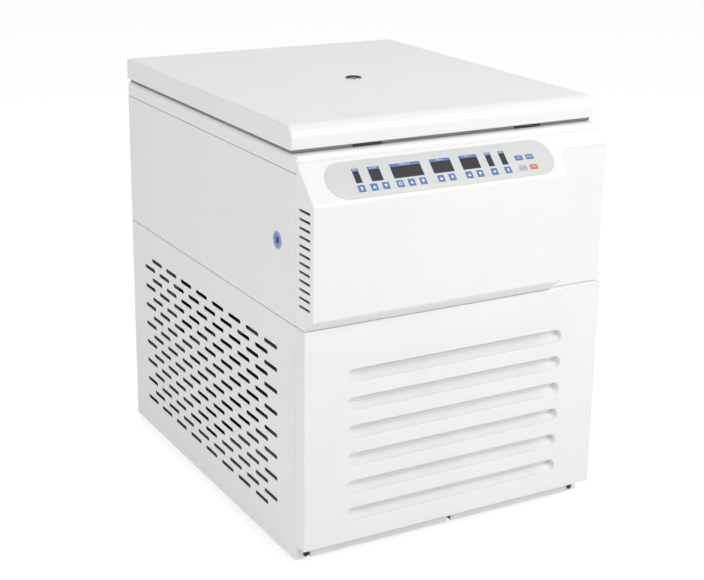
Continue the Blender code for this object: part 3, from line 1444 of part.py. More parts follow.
def make_port():
    """The view port: a flanged tube through the lid with a glass set into its top."""
    flange_low = Z_LID_TOP + CLEARANCE
    top = flange_low + PORT_FLANGE_THICKNESS
    seat = top - PORT_SEAT_DEPTH
    profile = [
        (PORT_FLANGE_RADIUS, top),
        (PORT_FLANGE_RADIUS, flange_low),
        (PORT_TUBE_RADIUS, flange_low),
        (PORT_TUBE_RADIUS, Z_LID),
        (PORT_BORE_RADIUS, Z_LID),
        (PORT_BORE_RADIUS, seat),
        (PORT_SEAT_RADIUS, seat),
        (PORT_SEAT_RADIUS, top),
    ]
    sleeve = coat(turned("port_sleeve", profile, PORT_STEPS, PARTS), STAINLESS)
    low = CHAMBER_AXIS + Vector((0, 0, seat + CLEARANCE))
    high = low + Vector((0, 0, PORT_GLASS_THICKNESS))
    glass = bar("port_glass", PORT_SEAT_RADIUS - CLEARANCE, low, high, PORT_STEPS, PARTS)
    return sleeve, coat(glass, GLASS)


def make_hinge_brackets():
    """On the rear face: a plate, two ears and the pin between them, at each hinge."""
    for name, x in (("left", -X_HINGE), ("right", X_HINGE)):
        y_plate = Y_REAR + CLEARANCE
        z_high = Z_RIM_TOP - HINGE_PLATE_DROP
        bracket = block(
            f"hinge_bracket_{name}",
            (x - HINGE_PLATE_WIDTH / 2, y_plate, z_high - HINGE_PLATE_HEIGHT),
            (x + HINGE_PLATE_WIDTH / 2, y_plate + HINGE_PLATE_THICKNESS, z_high),
            PARTS,
        )
        inner = HINGE_ARM_WIDTH / 2 + CLEARANCE
        outer = inner + HINGE_EAR_THICKNESS
        for side in (-1, 1):
            near, far = x + side * inner, x + side * outer
            left, right = min(near, far), max(near, far)
            low = (left, y_plate + HINGE_PLATE_THICKNESS / 2, Z_HINGE - HINGE_EAR_DROP)
            high = (right, Y_HINGE + HINGE_EAR_RADIUS / 2, Z_HINGE - HINGE_EAR_RADIUS / 2)
            ear = block(f"ear_{name}_{side}", low, high)
            disc = bar(
                f"ear_disc_{name}_{side}",
                HINGE_EAR_RADIUS,
                (left, Y_HINGE, Z_HINGE),
                (right, Y_HINGE, Z_HINGE),
                HINGE_STEPS,
            )
            join(bracket, join(ear, disc))
        reach = outer - HINGE_EAR_THICKNESS / 2
        start, end = (x - reach, Y_HINGE, Z_HINGE), (x + reach, Y_HINGE, Z_HINGE)
        pin = bar(f"hinge_pin_{name}", HINGE_PIN_RADIUS, start, end, HINGE_STEPS)
        join(bracket, pin)
        coat(bracket, ZINC_STEEL)


def make_lid_lock():
    """The lock's carrier under the rim: two collars, two bar guides and the lock motor."""
    z_high = Z_FRAME_UNDER - CLEARANCE
    z_low = z_high - LOCK_PLATE_THICKNESS
    reach = X_LATCH + LOCK_COLLAR_WIDTH / 2
    carrier = block(
        "lid_lock",
        (-reach, Y_LATCH - LOCK_PLATE_FRONT, z_low),
        (reach, Y_LATCH + LOCK_PLATE_BACK, z_high),
        PARTS,
    )
    for name, x in (("left", -X_LATCH), ("right", X_LATCH)):
        half_width, half_depth = LOCK_COLLAR_WIDTH / 2, LOCK_COLLAR_DEPTH / 2
        collar = block(
            f"lock_collar_{name}",
            (x - half_width, Y_LATCH - half_depth, z_low + LOCK_PLATE_THICKNESS / 2),
            (x + half_width, Y_LATCH + half_depth, Z_RIM_TOP + LOCK_COLLAR_PROUD),
        )
        join(carrier, collar)
    for name, x in (("left", -X_LATCH), ("right", X_LATCH)):
        half_width = STRIKER_WIDTH / 2 + LOCK_SLOT_PLAY
        half_depth = STRIKER_THICKNESS / 2 + LOCK_SLOT_PLAY
        slot = block(
            f"lock_slot_{name}",
            (x - half_width, Y_LATCH - half_depth, z_low - OVERRUN),
            (x + half_width, Y_LATCH + half_depth, Z_RIM_TOP + LOCK_COLLAR_PROUD + OVERRUN),
        )
        cut(carrier, slot)
    bar_low, bar_high = latch_bar_span()
    y_bar = Y_LATCH + LATCH_BAR_SETBACK
    y_back = y_bar + LATCH_BAR_THICKNESS + LOCK_GUIDE_WALL
    for name, x in (("left", -LOCK_GUIDE_SPACING / 2), ("right", LOCK_GUIDE_SPACING / 2)):
        guide = block(
            f"lock_guide_{name}",
            (x - LOCK_GUIDE_WIDTH / 2, y_bar - LOCK_GUIDE_WALL, bar_low - LOCK_GUIDE_WALL),
            (x + LOCK_GUIDE_WIDTH / 2, y_back, z_high - LOCK_PLATE_THICKNESS / 2),
        )
        way = block(
            f"lock_way_{name}",
            (x - LOCK_GUIDE_WIDTH, y_bar - CLEARANCE, bar_low - CLEARANCE),
            (x + LOCK_GUIDE_WIDTH, y_bar + LATCH_BAR_THICKNESS + CLEARANCE, bar_high + CLEARANCE),
        )
        join(carrier, cut(guide, way))
    y_motor = y_bar + LATCH_BAR_THICKNESS + CLEARANCE
    motor = block(
        "lock_motor",
        (-LOCK_MOTOR_WIDTH / 2, y_motor, z_high - LOCK_MOTOR_HEIGHT),
        (LOCK_MOTOR_WIDTH / 2, y_motor + LOCK_MOTOR_DEPTH, z_high - LOCK_PLATE_THICKNESS / 2),
    )
    join(carrier, motor)
    coat(carrier, PLASTIC_BLACK)


def latch_bar_span():
    """Lowest and highest z of the latch bar."""
    low = Z_LID - STRIKER_LENGTH + LATCH_BAR_RISE
    return low, low + LATCH_BAR_HEIGHT


def make_latch(slide):
    """The sliding bar with a nose at each striker, its leg, and the emergency plunger on the leg."""
    z_low, z_high = latch_bar_span()
    y_low = Y_LATCH + LATCH_BAR_SETBACK
    y_high = y_low + LATCH_BAR_THICKNESS
    nose_right = X_LATCH + STRIKER_WIDTH / 2 + LATCH_NOSE_PLAY + LATCH_NOSE_WIDTH
    leg_left = -X_SIDE + LEG_INSET
    bar_piece = block("latch_bar", (leg_left, y_low, z_low), (nose_right, y_high, z_high), PARTS)
    notch_low = Z_LID - STRIKER_LENGTH + STRIKER_TOOTH
    for name, x in (("left", -X_LATCH), ("right", X_LATCH)):
        left = x + STRIKER_WIDTH / 2 + LATCH_NOSE_PLAY
        nose_high = notch_low + STRIKER_NOTCH_HEIGHT - LATCH_NOSE_PLAY
        nose = block(
            f"latch_nose_{name}",
            (left, Y_LATCH - STRIKER_THICKNESS, notch_low + LATCH_NOSE_PLAY),
            (left + LATCH_NOSE_WIDTH, y_low + LATCH_BAR_THICKNESS / 2, nose_high),
        )
        join(bar_piece, nose)
    y_plunger, z_plunger = Y_FRONT + RELEASE_SETBACK, Z_BASE + RELEASE_HEIGHT
    leg_right = leg_left + LATCH_LEG_WIDTH
    z_foot = z_plunger - LEG_PAD_HEIGHT / 2
    join(bar_piece, block("latch_leg", (leg_left, y_low, z_foot), (leg_right, y_high, z_high)))
    pad = block(
        "latch_pad",
        (leg_left, y_low, z_foot),
        (leg_right, y_plunger + LEG_PAD_HEIGHT / 2, z_foot + LEG_PAD_HEIGHT),
    )
    join(bar_piece, pad)
    coat(bar_piece, ZINC_STEEL)
    start = (-X_SIDE + PLUNGER_SINK + LATCH_TRAVEL, y_plunger, z_plunger)
    end = (leg_left - CLEARANCE, y_plunger, z_plunger)
    plunger = bar("release_plunger", PLUNGER_RADIUS, start, end, PLUNGER_STEPS, PARTS)
    coat(plunger, PAINT_BLACK)
    follow(bar_piece, slide)
    follow(plunger, slide)


def make_release():
    """The round escutcheon, flush with the side panel, whose barrel guides the plunger."""
    place = Vector((-X_SIDE, Y_FRONT + RELEASE_SETBACK, Z_BASE + RELEASE_HEIGHT))
    bore = roomy(PLUNGER_RADIUS, PORT_STEPS)
    inner = SHEET + CLEARANCE
    profile = [
        (RELEASE_RADIUS, 0),
        (RELEASE_RADIUS, -inner),
        (RELEASE_COLLAR_RADIUS, -inner),
        (RELEASE_COLLAR_RADIUS, -inner - RELEASE_COLLAR_THICKNESS),
        (RELEASE_BARREL_RADIUS, -inner - RELEASE_COLLAR_THICKNESS),
        (RELEASE_BARREL_RADIUS, -RELEASE_BARREL_LENGTH),
        (bore, -RELEASE_BARREL_LENGTH),
        (bore, 0),
    ]
    escutcheon = turned("release_escutcheon", profile, PORT_STEPS, PARTS, place)
    escutcheon.rotation_euler = (0, -math.pi / 2, 0)
    coat(escutcheon, PLASTIC_BLUE)


def make_condenser_and_fan():
    """The finned block behind the front louvres, its shroud with the fan's motor, and the fan."""
    y_front = Y_FRONT + CONDENSER_SETBACK
    y_back = y_front + CONDENSER_DEPTH
    z_low = Z_TRAY + CLEARANCE
    z_high = z_low + CONDENSER_HEIGHT
    half = CONDENSER_WIDTH / 2
    condenser = block("condenser", (-half, y_front, z_low), (half, y_back, z_high), PARTS)
    for name, x in (("left", -half), ("right", half - CONDENSER_HEADER)):
        header = block(
            f"header_{name}",
            (x, y_front - CONDENSER_HEADER_LIP, z_low),
            (x + CONDENSER_HEADER, y_back, z_high),
        )
        join(condenser, header)
    coat(condenser, ALUMINIUM)

    y_shroud = y_back + CLEARANCE
    y_end = y_shroud + SHROUD_DEPTH
    z_fan = z_low + CONDENSER_HEIGHT / 2
    half = SHROUD_SIZE / 2
    shroud = block("fan_shroud", (-half, y_shroud, z_fan - half), (half, y_end, z_fan + half), PARTS)
    start, end = (0, y_shroud - OVERRUN, z_fan), (0, y_end + OVERRUN, z_fan)
    cut(shroud, bar("shroud_bore", FAN_BORE_RADIUS, start, end, DRIVE_STEPS))
    for name, size in (("flat", (half, FAN_SPIDER_WIDTH / 2)), ("tall", (FAN_SPIDER_WIDTH / 2, half))):
        low = (-size[0], y_end - FAN_SPIDER_THICKNESS, z_fan - size[1])
        high = (size[0], y_end, z_fan + size[1])
        join(shroud, block(f"spider_{name}", low, high))
    start = (0, y_end - FAN_SPIDER_THICKNESS, z_fan)
    end = (0, y_end + FAN_MOTOR_LENGTH, z_fan)
    join(shroud, bar("fan_motor", FAN_MOTOR_RADIUS, start, end, DRIVE_STEPS))
    coat(shroud, PAINT_BLACK)

    place = Vector((0, y_shroud + FAN_SETBACK, z_fan))
    back = y_end - FAN_SPIDER_THICKNESS - CLEARANCE
    front = place - Vector((0, FAN_HUB_LENGTH / 2, 0))
    fan = bar("fan", FAN_HUB_RADIUS, front - place, Vector((0, back - place.y, 0)), FAN_BLADES * 4, PARTS)
    fan.location = place
    blade_outline = [
        (-FAN_ROOT_CHORD / 2, FAN_HUB_RADIUS / 2),
        (FAN_ROOT_CHORD / 2, FAN_HUB_RADIUS / 2),
        (FAN_TIP_CHORD / 2, FAN_RADIUS * math.cos(FAN_TIP_CHORD / 2 / FAN_RADIUS)),
        (0, FAN_RADIUS),
        (-FAN_TIP_CHORD / 2, FAN_RADIUS * math.cos(FAN_TIP_CHORD / 2 / FAN_RADIUS)),
    ]
    for index in range(FAN_BLADES):
        around = Matrix.Rotation(math.tau * index / FAN_BLADES, 4, "Y")
        feather = Matrix.Rotation(FAN_PITCH, 4, "Z")
        flat = facing_front(0)
        matrix = Matrix.Translation(place) @ around @ feather @ flat
        join(fan, slab(f"blade_{index + 1}", [blade_outline], FAN_BLADE_THICKNESS, matrix))
    coat(fan, PLASTIC_BLACK)


def make_compressor():
    z_low = Z_TRAY + CLEARANCE
    place = Vector((-X_SIDE + COMPRESSOR_SIDE_SETBACK, Y_REAR - COMPRESSOR_REAR_SETBACK, z_low))
    low = COMPRESSOR_RISE
    high = low + COMPRESSOR_HEIGHT
    profile = [
        (0, high),
        (COMPRESSOR_DOME_RADIUS, high - COMPRESSOR_DOME / 4),
        (COMPRESSOR_RADIUS, high - COMPRESSOR_DOME),
        (COMPRESSOR_RADIUS, low + COMPRESSOR_DOME),
        (COMPRESSOR_DOME_RADIUS, low),
        (COMPRESSOR_DOME_RADIUS, COMPRESSOR_BASE_THICKNESS / 2),
        (0, COMPRESSOR_BASE_THICKNESS / 2),
    ]
    compressor = turned("compressor", profile, COMPRESSOR_STEPS, PARTS, place, closed=False)
    half = COMPRESSOR_BASE_SIZE / 2
    corner = Vector((half, half, 0))
    base_high = place + corner + Vector((0, 0, COMPRESSOR_BASE_THICKNESS))
    join(compressor, block("compressor_base", place - corner, base_high))
    box = TERMINAL_BOX_SIZE / 2
    middle = place + Vector((0, COMPRESSOR_RADIUS, (low + high) / 2))
    reach = Vector((box, box / 2, box))
    join(compressor, block("terminal_box", middle - reach, middle + reach))
    coat(compressor, PAINT_BLACK)


def make_controller():
    """The drive controller: a box with a finned heat sink on the side towards the panel's vents."""
    z_low = Z_TRAY + CLEARANCE
    size = Vector((CONTROLLER_WIDTH, CONTROLLER_DEPTH, CONTROLLER_HEIGHT))
    right, rear = X_SIDE - CONTROLLER_SIDE_SETBACK, Y_REAR - CONTROLLER_REAR_SETBACK
    high = Vector((right, rear, z_low + CONTROLLER_HEIGHT))
    box = block("controller_box", high - size, high, PARTS)
    loops = []
    for index in range(HEATSINK_FINS):
        y = rear - CONTROLLER_DEPTH / 2 + (index - (HEATSINK_FINS - 1) / 2) * HEATSINK_FIN_PITCH
        loops.append(rectangle(high.x, y, 2 * HEATSINK_DEPTH, HEATSINK_GROOVE))
    tall = Matrix.Translation((0, 0, z_low + CONTROLLER_HEIGHT / 2))
    cut(box, slab("heatsink_grooves", loops, CONTROLLER_HEIGHT + 2 * OVERRUN, tall))
    coat(box, ALUMINIUM)


def make_power_entry():
    """On the rear panel: a plate with the switch's well and the mains gland, and the rocker."""
    z = Z_BASE + POWER_HEIGHT
    half_width, half_height = POWER_PLATE_WIDTH / 2, POWER_PLATE_HEIGHT / 2
    y_plate = Y_REAR + CLEARANCE
    y_face = y_plate + POWER_PLATE_THICKNESS
    entry = block(
        "power_entry",
        (X_POWER - half_width, y_plate, z - half_height),
        (X_POWER + half_width, y_face, z + half_height),
        PARTS,
    )
    inset = POWER_BODY_INSET
    body = block(
        "power_body",
        (X_POWER - half_width + inset, y_plate - POWER_BODY_DEPTH, z - half_height + inset),
        (X_POWER + half_width - inset, y_plate + POWER_PLATE_THICKNESS / 2, z + half_height - inset),
    )
    z_gland = z - GLAND_DROP
    start, end = (X_POWER, y_plate, z_gland), (X_POWER, y_face + GLAND_LENGTH, z_gland)
    join(entry, body, bar("gland", GLAND_RADIUS, start, end, GLAND_STEPS))
    inner_end = (X_POWER, y_face + GLAND_LENGTH - GLAND_BORE_DEPTH, z_gland)
    outer_end = (X_POWER, y_face + GLAND_LENGTH + OVERRUN, z_gland)
    z_rocker = z + ROCKER_RISE
    swing = math.hypot(ROCKER_HEIGHT, ROCKER_DEPTH) / 2
    half_well = ROCKER_WIDTH / 2 + CLEARANCE
    well = block(
        "rocker_well",
        (X_POWER - half_well, y_face - ROCKER_WELL_DEPTH, z_rocker - swing - CLEARANCE),
        (X_POWER + half_well, y_face + OVERRUN, z_rocker + swing + CLEARANCE),
    )
    cut(entry, bar("gland_bore", GLAND_BORE_RADIUS, inner_end, outer_end, GLAND_STEPS), well)
    coat(entry, PLASTIC_BLACK)
    half = Vector((ROCKER_WIDTH, ROCKER_DEPTH, ROCKER_HEIGHT)) / 2
    rocker = block("power_rocker", -half, half, PARTS)
    rocker.location = (X_POWER, y_face - ROCKER_DEPTH / 2, z_rocker)
    rocker.rotation_euler = (-ROCKER_ANGLE, 0, 0)
    coat(rocker, PLASTIC_RED)


def main():
    lid_hinge = pivot("lid_axis", (0, Y_HINGE, Z_HINGE))
    latch_slide = pivot("latch_axis", (0, Y_LATCH, latch_bar_span()[0]))
    make_feet()
    make_base_tray()
    make_lower_sides()
    make_upper_sides()
    make_rear_panel()
    make_lower_front_panel()
    make_console()
    make_overlay()
    make_display_board()
    make_keys()
    make_top_frame()
    make_bowl()
    make_chamber_seal()
    make_evaporator_coil()
    make_insulation()
    make_armour_deck()
    make_motor()
    make_shaft()
    make_rotor()
    make_rotor_lid()
    make_rotor_knob()
    make_lid(lid_hinge)
    make_hinge_brackets()
    make_lid_lock()
    make_latch(latch_slide)
    make_release()
    make_condenser_and_fan()
    make_compressor()
    make_controller()
    make_power_entry()


main()
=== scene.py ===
"""The looks of a floor-standing refrigerated high-speed centrifuge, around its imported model.

Metres, +Z up, with the console facing -Y. Each piece is modelled where it stands at rest.
"""

import math

import bmesh
import bpy
from mathutils import Matrix, Vector


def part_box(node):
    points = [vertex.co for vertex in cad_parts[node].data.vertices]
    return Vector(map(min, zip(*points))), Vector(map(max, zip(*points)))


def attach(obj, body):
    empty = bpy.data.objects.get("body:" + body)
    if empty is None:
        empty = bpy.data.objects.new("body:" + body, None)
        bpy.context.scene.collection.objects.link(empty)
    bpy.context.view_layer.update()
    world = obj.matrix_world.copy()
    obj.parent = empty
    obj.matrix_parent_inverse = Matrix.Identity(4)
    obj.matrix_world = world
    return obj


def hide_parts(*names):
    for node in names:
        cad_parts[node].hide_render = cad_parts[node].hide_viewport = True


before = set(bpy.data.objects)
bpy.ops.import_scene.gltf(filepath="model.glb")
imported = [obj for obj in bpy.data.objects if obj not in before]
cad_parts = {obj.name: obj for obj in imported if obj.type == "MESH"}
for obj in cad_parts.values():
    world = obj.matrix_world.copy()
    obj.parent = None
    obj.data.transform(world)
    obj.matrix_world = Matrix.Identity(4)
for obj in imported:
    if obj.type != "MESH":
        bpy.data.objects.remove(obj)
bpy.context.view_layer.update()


def low(node):
    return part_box(node)[0]


def high(node):
    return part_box(node)[1]


def middle_of(node):
    return (low(node) + high(node)) / 2


def half_width(node):
    return (high(node).x - low(node).x) / 2


# Levels and planes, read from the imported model
X_SIDE = high("top_frame").x
Y_FRONT, Y_REAR = low("top_frame").y, high("top_frame").y
Y_PANEL = low("lower_front_panel").y
Y_CONSOLE = low("console_fascia").y
Y_LID = low("lid_shell").y
Z_BASE = low("base_tray").z
Z_RIM, Z_RIM_TOP = low("top_frame").z, high("top_frame").z
Z_LID, Z_LID_TOP = low("lid_shell").z, high("lid_shell").z
Z_CONSOLE, Z_CHIN = high("console_fascia").z, low("console_fascia").z
Z_ROTOR, Z_ROTOR_TOP = low("rotor").z, high("rotor").z
CHAMBER = middle_of("chamber_bowl")
CHAMBER.z = 0
AXIS = Matrix.Translation(CHAMBER)

# Fits and edges
CLEARANCE = 0.0003
OVERRUN = 0.002
EDGE, PANEL_EDGE, SOFT_EDGE = 0.0004, 0.00032, 0.0006
SHEET = 0.0015
BEND_RADIUS = 0.006
FOLD_WIDTH = 0.019

# Vents of the side and rear panels
VENT_LENGTH, VENT_HEIGHT = 0.0545, 0.0082
VENT_PITCH, VENT_ROW_PITCH = 0.0772, 0.02145
VENT_FRONT, VENT_TOP = 0.1005, 0.3885
VENT_COLUMNS, VENT_ROWS = 8, 16
VENT_STEPS = 8
REAR_VENT_LENGTH, REAR_VENT_HEIGHT = 0.110, 0.009
REAR_VENT_PITCH, REAR_VENT_COLUMN, REAR_VENT_LOW = 0.026, 0.150, 0.170
REAR_VENT_ROWS = 8
HOOD_RISE, HOOD_MARGIN, HOOD_SKIN = 0.0065, 0.007, 0.0012
HOOD_TAPER, HOOD_STEPS = 0.8, 6
# Near-black mat behind the rear slots: a filter, and painted shade for the dark inside seen through the
# slots.
SHADE_FILTER_MARGIN, SHADE_FILTER_THICKNESS = 0.008, 0.003

# Openings in the sides and the rear panel
RELEASE_COLLAR = 0.0025
POWER_INSET = 0.006

# Lower front panel
FRONT_SKIN = 0.0015
FRONT_EDGE = 0.0025
LOUVRE_LENGTH, LOUVRE_HEIGHT, LOUVRE_PITCH = 0.467, 0.026, 0.0541
LOUVRE_TOP, LOUVRE_COUNT = 0.3545, 6
LOUVRE_DEPTH, LOUVRE_BACK_HEIGHT = 0.016, 0.014
LOUVRE_LIP, LOUVRE_SLIT_INSET = 0.0015, 0.030
LOUVRE_STEPS, LOUVRE_LIP_STEPS = 16, 6
LOUVRE_SHARES, LOUVRE_STEEPNESS = (0.25, 0.5, 0.7, 0.85, 0.95, 1.0), 1.02

# Console
CONSOLE_TOP_FLAT, CONSOLE_DROP = 0.002, 0.0605
CONSOLE_CHIN, CONSOLE_CHIN_DEPTH = 0.025, 0.031
CONSOLE_WALL, CONSOLE_BEND = 0.003, 0.008
CONSOLE_EDGE, CONSOLE_END, CONSOLE_END_STEPS = 0.0025, 0.007, 8
RECESS_WIDTH, RECESS_SETBACK, RECESS_CORNER = 0.1185, 0.009, 0.036
RECESS_FOOT, RECESS_FOOT_STEPS = 0.008, 8
CONSOLE_VENT_COUNT = 12
CONSOLE_VENT_LENGTH, CONSOLE_VENT_HEIGHT = 0.041, 0.0050
CONSOLE_VENT_PITCH, CONSOLE_VENT_TOP, CONSOLE_VENT_SETBACK = 0.01556, 0.059, 0.011
KEYBED_WIDTH, KEYBED_HEIGHT, KEYBED_DROP = 0.40, 0.050, 0.008

# Control overlay: windows as (share of its length, width, digits), and the prints on it
WINDOW_SHARES = (0.1330, 0.2102, 0.3445, 0.4970, 0.6217, 0.7117, 0.7739)
WINDOW_WIDTHS = (0.0113, 0.0218, 0.0600, 0.0414, 0.0363, 0.0113, 0.0113)
WINDOW_DIGITS = (1, 2, 5, 4, 3, 1, 1)
WINDOW_TOP, WINDOW_HEIGHT, WINDOW_CORNER = 0.0215, 0.0230, 0.0006
PRINT = 0.00006
OVERLAY_EDGE = 0.0002
HEADER_HEIGHT, HEADER_CORNER = 0.0052, 0.0005
OUTLINE_WIDTH, OUTLINE_GAP = 0.0009, 0.0004
DIGIT_HEIGHT, DIGIT_BAR, DIGIT_SPLIT = 0.0125, 0.0011, 0.0002
DIGIT_PITCH, DIGIT_MARGIN, DIGIT_SHARE = 0.00957, 0.002, 0.62
HEADER_WORDS = ("ACC", "ROTOR", "SPEED r/min", "TIME min", "TEMP \u00b0C", "DEC", "PROG")
KEY_WORDS = {"key_blue_left": "SET", "key_blue_right": "ENTER", "key_grey": "START", "key_red": "STOP"}
WORD_SIZE, WORD_SHARE, LETTER_WIDTH = 0.0042, 0.9, 0.62
DOT_RADIUS, DOT_GAP = 0.0008, 0.0022

# Keys
KEYS = [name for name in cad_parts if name.startswith("key_")]
KEY_CORNER, KEY_EDGE = 0.0011, 0.00025
ARROWS_UP, ARROWS_DOWN, FRAME_KEY, BAR_KEY = (2, 5, 7, 9), (3, 6, 8, 10), 4, 11
ICON_SIZE = 0.0034

# Lid
LID_WALL, LID_FRONT_RADIUS, LID_REAR_RADIUS, LID_HEM = 0.002, 0.024, 0.008, 0.003
LID_SIDE_EDGE = 0.004
# Dark grey strip under the lid's edge: painted shade for the gap between the lid and the rim.
LID_SHADE_STRIP_INSET, LID_SHADE_STRIP_WIDTH, LID_SHADE_STRIP_GAP = 0.0045, 0.006, 0.0011
LID_SHADE_STRIP_CORNER = 0.004
LOCK_SPACING, LOCK_PAD_WIDTH, LOCK_PAD_DEPTH, LOCK_PAD_EDGE = 0.340, 0.058, 0.012, 0.0015
PORT_RADIUS = 0.0153

# Rim, and the half sizes of the lock holes in it
RIM_CORNER, RIM_EDGE, RIM_WALL = 0.014, 0.008, 0.004
RIM_LAP, RIM_LEDGE = 0.018, 0.002
LOCK_Y = Y_FRONT + 0.050
LOCK_HOLE_X, LOCK_HOLE_Y, LOCK_HOLE_CORNER = 0.0293, 0.0113, 0.003

# Chamber
BOWL_FLANGE, BOWL_SHEET, BOWL_DEPTH = 0.020, 0.002, 0.240
SHAFT_HOLE, SHAFT_COLLAR, SHAFT_FLARE = 0.037, 0.010, 0.014
SEAL_WIDTH, SEAL_LIP, SEAL_GROOVE = 0.011, 0.004, 0.0018

# Rotor, its lid and the knob
ROTOR_STEPS = 128
POCKET_ANGLE = math.radians(25)
POCKET_CIRCLE, POCKET_RADIUS, POCKET_DEPTH, POCKET_COUNT = 0.052, 0.0195, 0.092, 6
KNOB_RADIUS, KNOB_LOBE, KNOB_LOBES, KNOB_HEIGHT, KNOB_STEPS = 0.023, 0.0025, 6, 0.024, 144
STUD_RADIUS = 0.005

# The knob's levels, as (height, inset)
KNOB_LEVELS = (
    (0, 0.0006), (0.0006, 0), (0.019, 0), (0.0215, 0.0006),
    (0.0232, 0.0020), (0.024, 0.0042), (0.0242, 0.008),
)

# A foot, as (share of its radius, share of its height, fillet, segments)
FOOT_PROFILE = (
    (0, 0),
    (0.80, 0, 0.002, 4),
    (0.86, 0.35, 0.001, 3),
    (0.78, 0.45, 0.001, 3),
    (0.98, 0.62, 0.001, 3),
    (1, 1, 0.001, 3),
    (0, 1),
)

# Screws, with shares of the head's radius for its shape
SCREW_RADIUS, SCREW_INSET = 0.0042, 0.010
SCREW_EDGE, SCREW_CROWN, SCREW_HEIGHT = 0.40, 0.55, 0.62
CROSS_LENGTH, CROSS_WIDTH, CROSS_FLOOR = 0.58, 0.11, 0.32
LIP_SCREW_RADIUS, LIP_SCREW_INSET, LIP_SCREW_HEIGHT = 0.0055, 0.0195, 0.0095
LINER_SCREW_SHARES, LINER_SCREW_SPREAD = (0.1, 0.5, 0.9), 1.2
HINGE_SCREW_X, HINGE_SCREW_HEIGHTS = 0.021, (-0.018, 0.002)
SWITCH_SCREW_RADIUS, SWITCH_SCREW_Z = 0.0035, 0.049

# Cable gland, and the rocker's marks
GLAND_LENGTH, GLAND_DROP, GLAND_RADIUS = 0.015, 0.028, 0.0125
GLAND_NUT_RADIUS, GLAND_NUT_LENGTH = 0.0175, 0.007
ROCKER_MARK_Y, ROCKER_RING, ROCKER_BAR = 0.007, (0.0022, 0.0016), (0.0007, 0.0044)

# Slope of the console, as a frame whose y climbs it and whose z points out of it
SLOPE_RUN = Y_FRONT - CONSOLE_TOP_FLAT - Y_CONSOLE
SLOPE_ANGLE = math.atan2(CONSOLE_DROP, SLOPE_RUN)
SLOPE_TOP = Vector((0, Y_FRONT - CONSOLE_TOP_FLAT, Z_CONSOLE))
SLOPE = Matrix.Translation(SLOPE_TOP) @ Matrix.Rotation(SLOPE_ANGLE, 4, "X")

# Recess at the console's right
X_CONSOLE = X_SIDE - RECESS_WIDTH
Y_RECESS = Y_PANEL + RECESS_SETBACK
CORNER_DROP = (Y_FRONT - CONSOLE_TOP_FLAT - Y_RECESS) * math.tan(SLOPE_ANGLE)
CORNER_TOP = Z_CONSOLE - CORNER_DROP + OVERRUN
CORNER_CENTRE = (X_CONSOLE + RECESS_CORNER, CORNER_TOP - RECESS_CORNER)

# Camera, and the lamps as (name, place, aim, size, watts)
CAMERA_PLACE = Vector((-1.4308, -2.5321, 1.3439))
CAMERA_AZIMUTH, CAMERA_ELEVATION = math.radians(29.467), math.radians(16.848)
CAMERA_ROLL = math.radians(0.749)
CAMERA_LENS, SENSOR_WIDTH = 75.914, 36
IMAGE_WIDTH, HORIZON_SHIFT = 704, -40
AMBIENT = 0.44
LAMPS = (
    ("key", (1.3, -3.3, 2.7), (0, -0.2, 0.45), 1.8, 87),
    ("fill", (-3.7, -0.9, 1.0), (0, 0, 0.4), 2.4, 40),
    ("top", (0.2, 0.6, 3.6), (0, 0, 0.8), 1.8, 14),
)
FLOOR_SIZE, FLOOR_GLOW = 30, 0.76
FLOOR_COLOUR, FLOOR_SHOWN = (0.80, 0.80, 0.80, 1), (0.46, 0.46, 0.46, 1)

# Nodes that are shown as they come, by look
KEPT_NODES = {
    "powder_coat": ("base_tray",),
    "liner_steel": ("lid_liner",),
    "zinc_steel": ("latch_bar", "drive_shaft", "hinge_bracket_left", "hinge_bracket_right"),
    "aluminium": ("drive_motor",),
    "fins": ("condenser",),
    "copper": ("evaporator_coil",),
    "foam": ("insulation", "lid_core"),
    "rubber": ("motor_damper",),
    "black_paint": ("armour_deck", "fan_shroud", "compressor", "release_plunger"),
    "black_plastic": ("fan", "lid_lock", "power_entry"),
    "controller_grey": ("controller_box",),
    "key_red": ("power_rocker",),
}


# Materials

def node_of(tree, kind, values=(), fed=()):
    """A shader node, with inputs set to values or fed from sockets, as (input, value) pairs."""
    made = tree.nodes.new("ShaderNode" + kind)
    for name, value in values:
        made.inputs[name].default_value = value
    for name, socket in fed:
        tree.links.new(socket, made.inputs[name])
    return made


def noise(tree, scale, detail, stretch):
    """Noise in the piece's own frame, in waves per metre."""
    place = node_of(tree, "TexCoord").outputs["Object"]
    mapping = node_of(tree, "Mapping", [("Scale", stretch)], [("Vector", place)])
    values = [("Scale", scale), ("Detail", detail)]
    return node_of(tree, "TexNoise", values, [("Vector", mapping.outputs["Vector"])]).outputs["Fac"]


NOISE_LOW, NOISE_HIGH = 0.3, 0.7


def ramp(tree, value, first, last):
    """Maps a noise value to a colour between two colours."""
    node = node_of(tree, "ValToRGB", fed=[("Fac", value)])
    ends = ((NOISE_LOW, first), (NOISE_HIGH, last))
    for element, (position, colour) in zip(node.color_ramp.elements, ends):
        element.position = position
        element.color = (*colour, 1)
    return node.outputs["Color"]


def spread(tree, value, first, last):
    """Maps a noise value to a number between two numbers."""
    ends = [("From Min", NOISE_LOW), ("From Max", NOISE_HIGH), ("To Min", first), ("To Max", last)]
    return node_of(tree, "MapRange", ends, [("Value", value)]).outputs["Result"]


LOOKS = {}


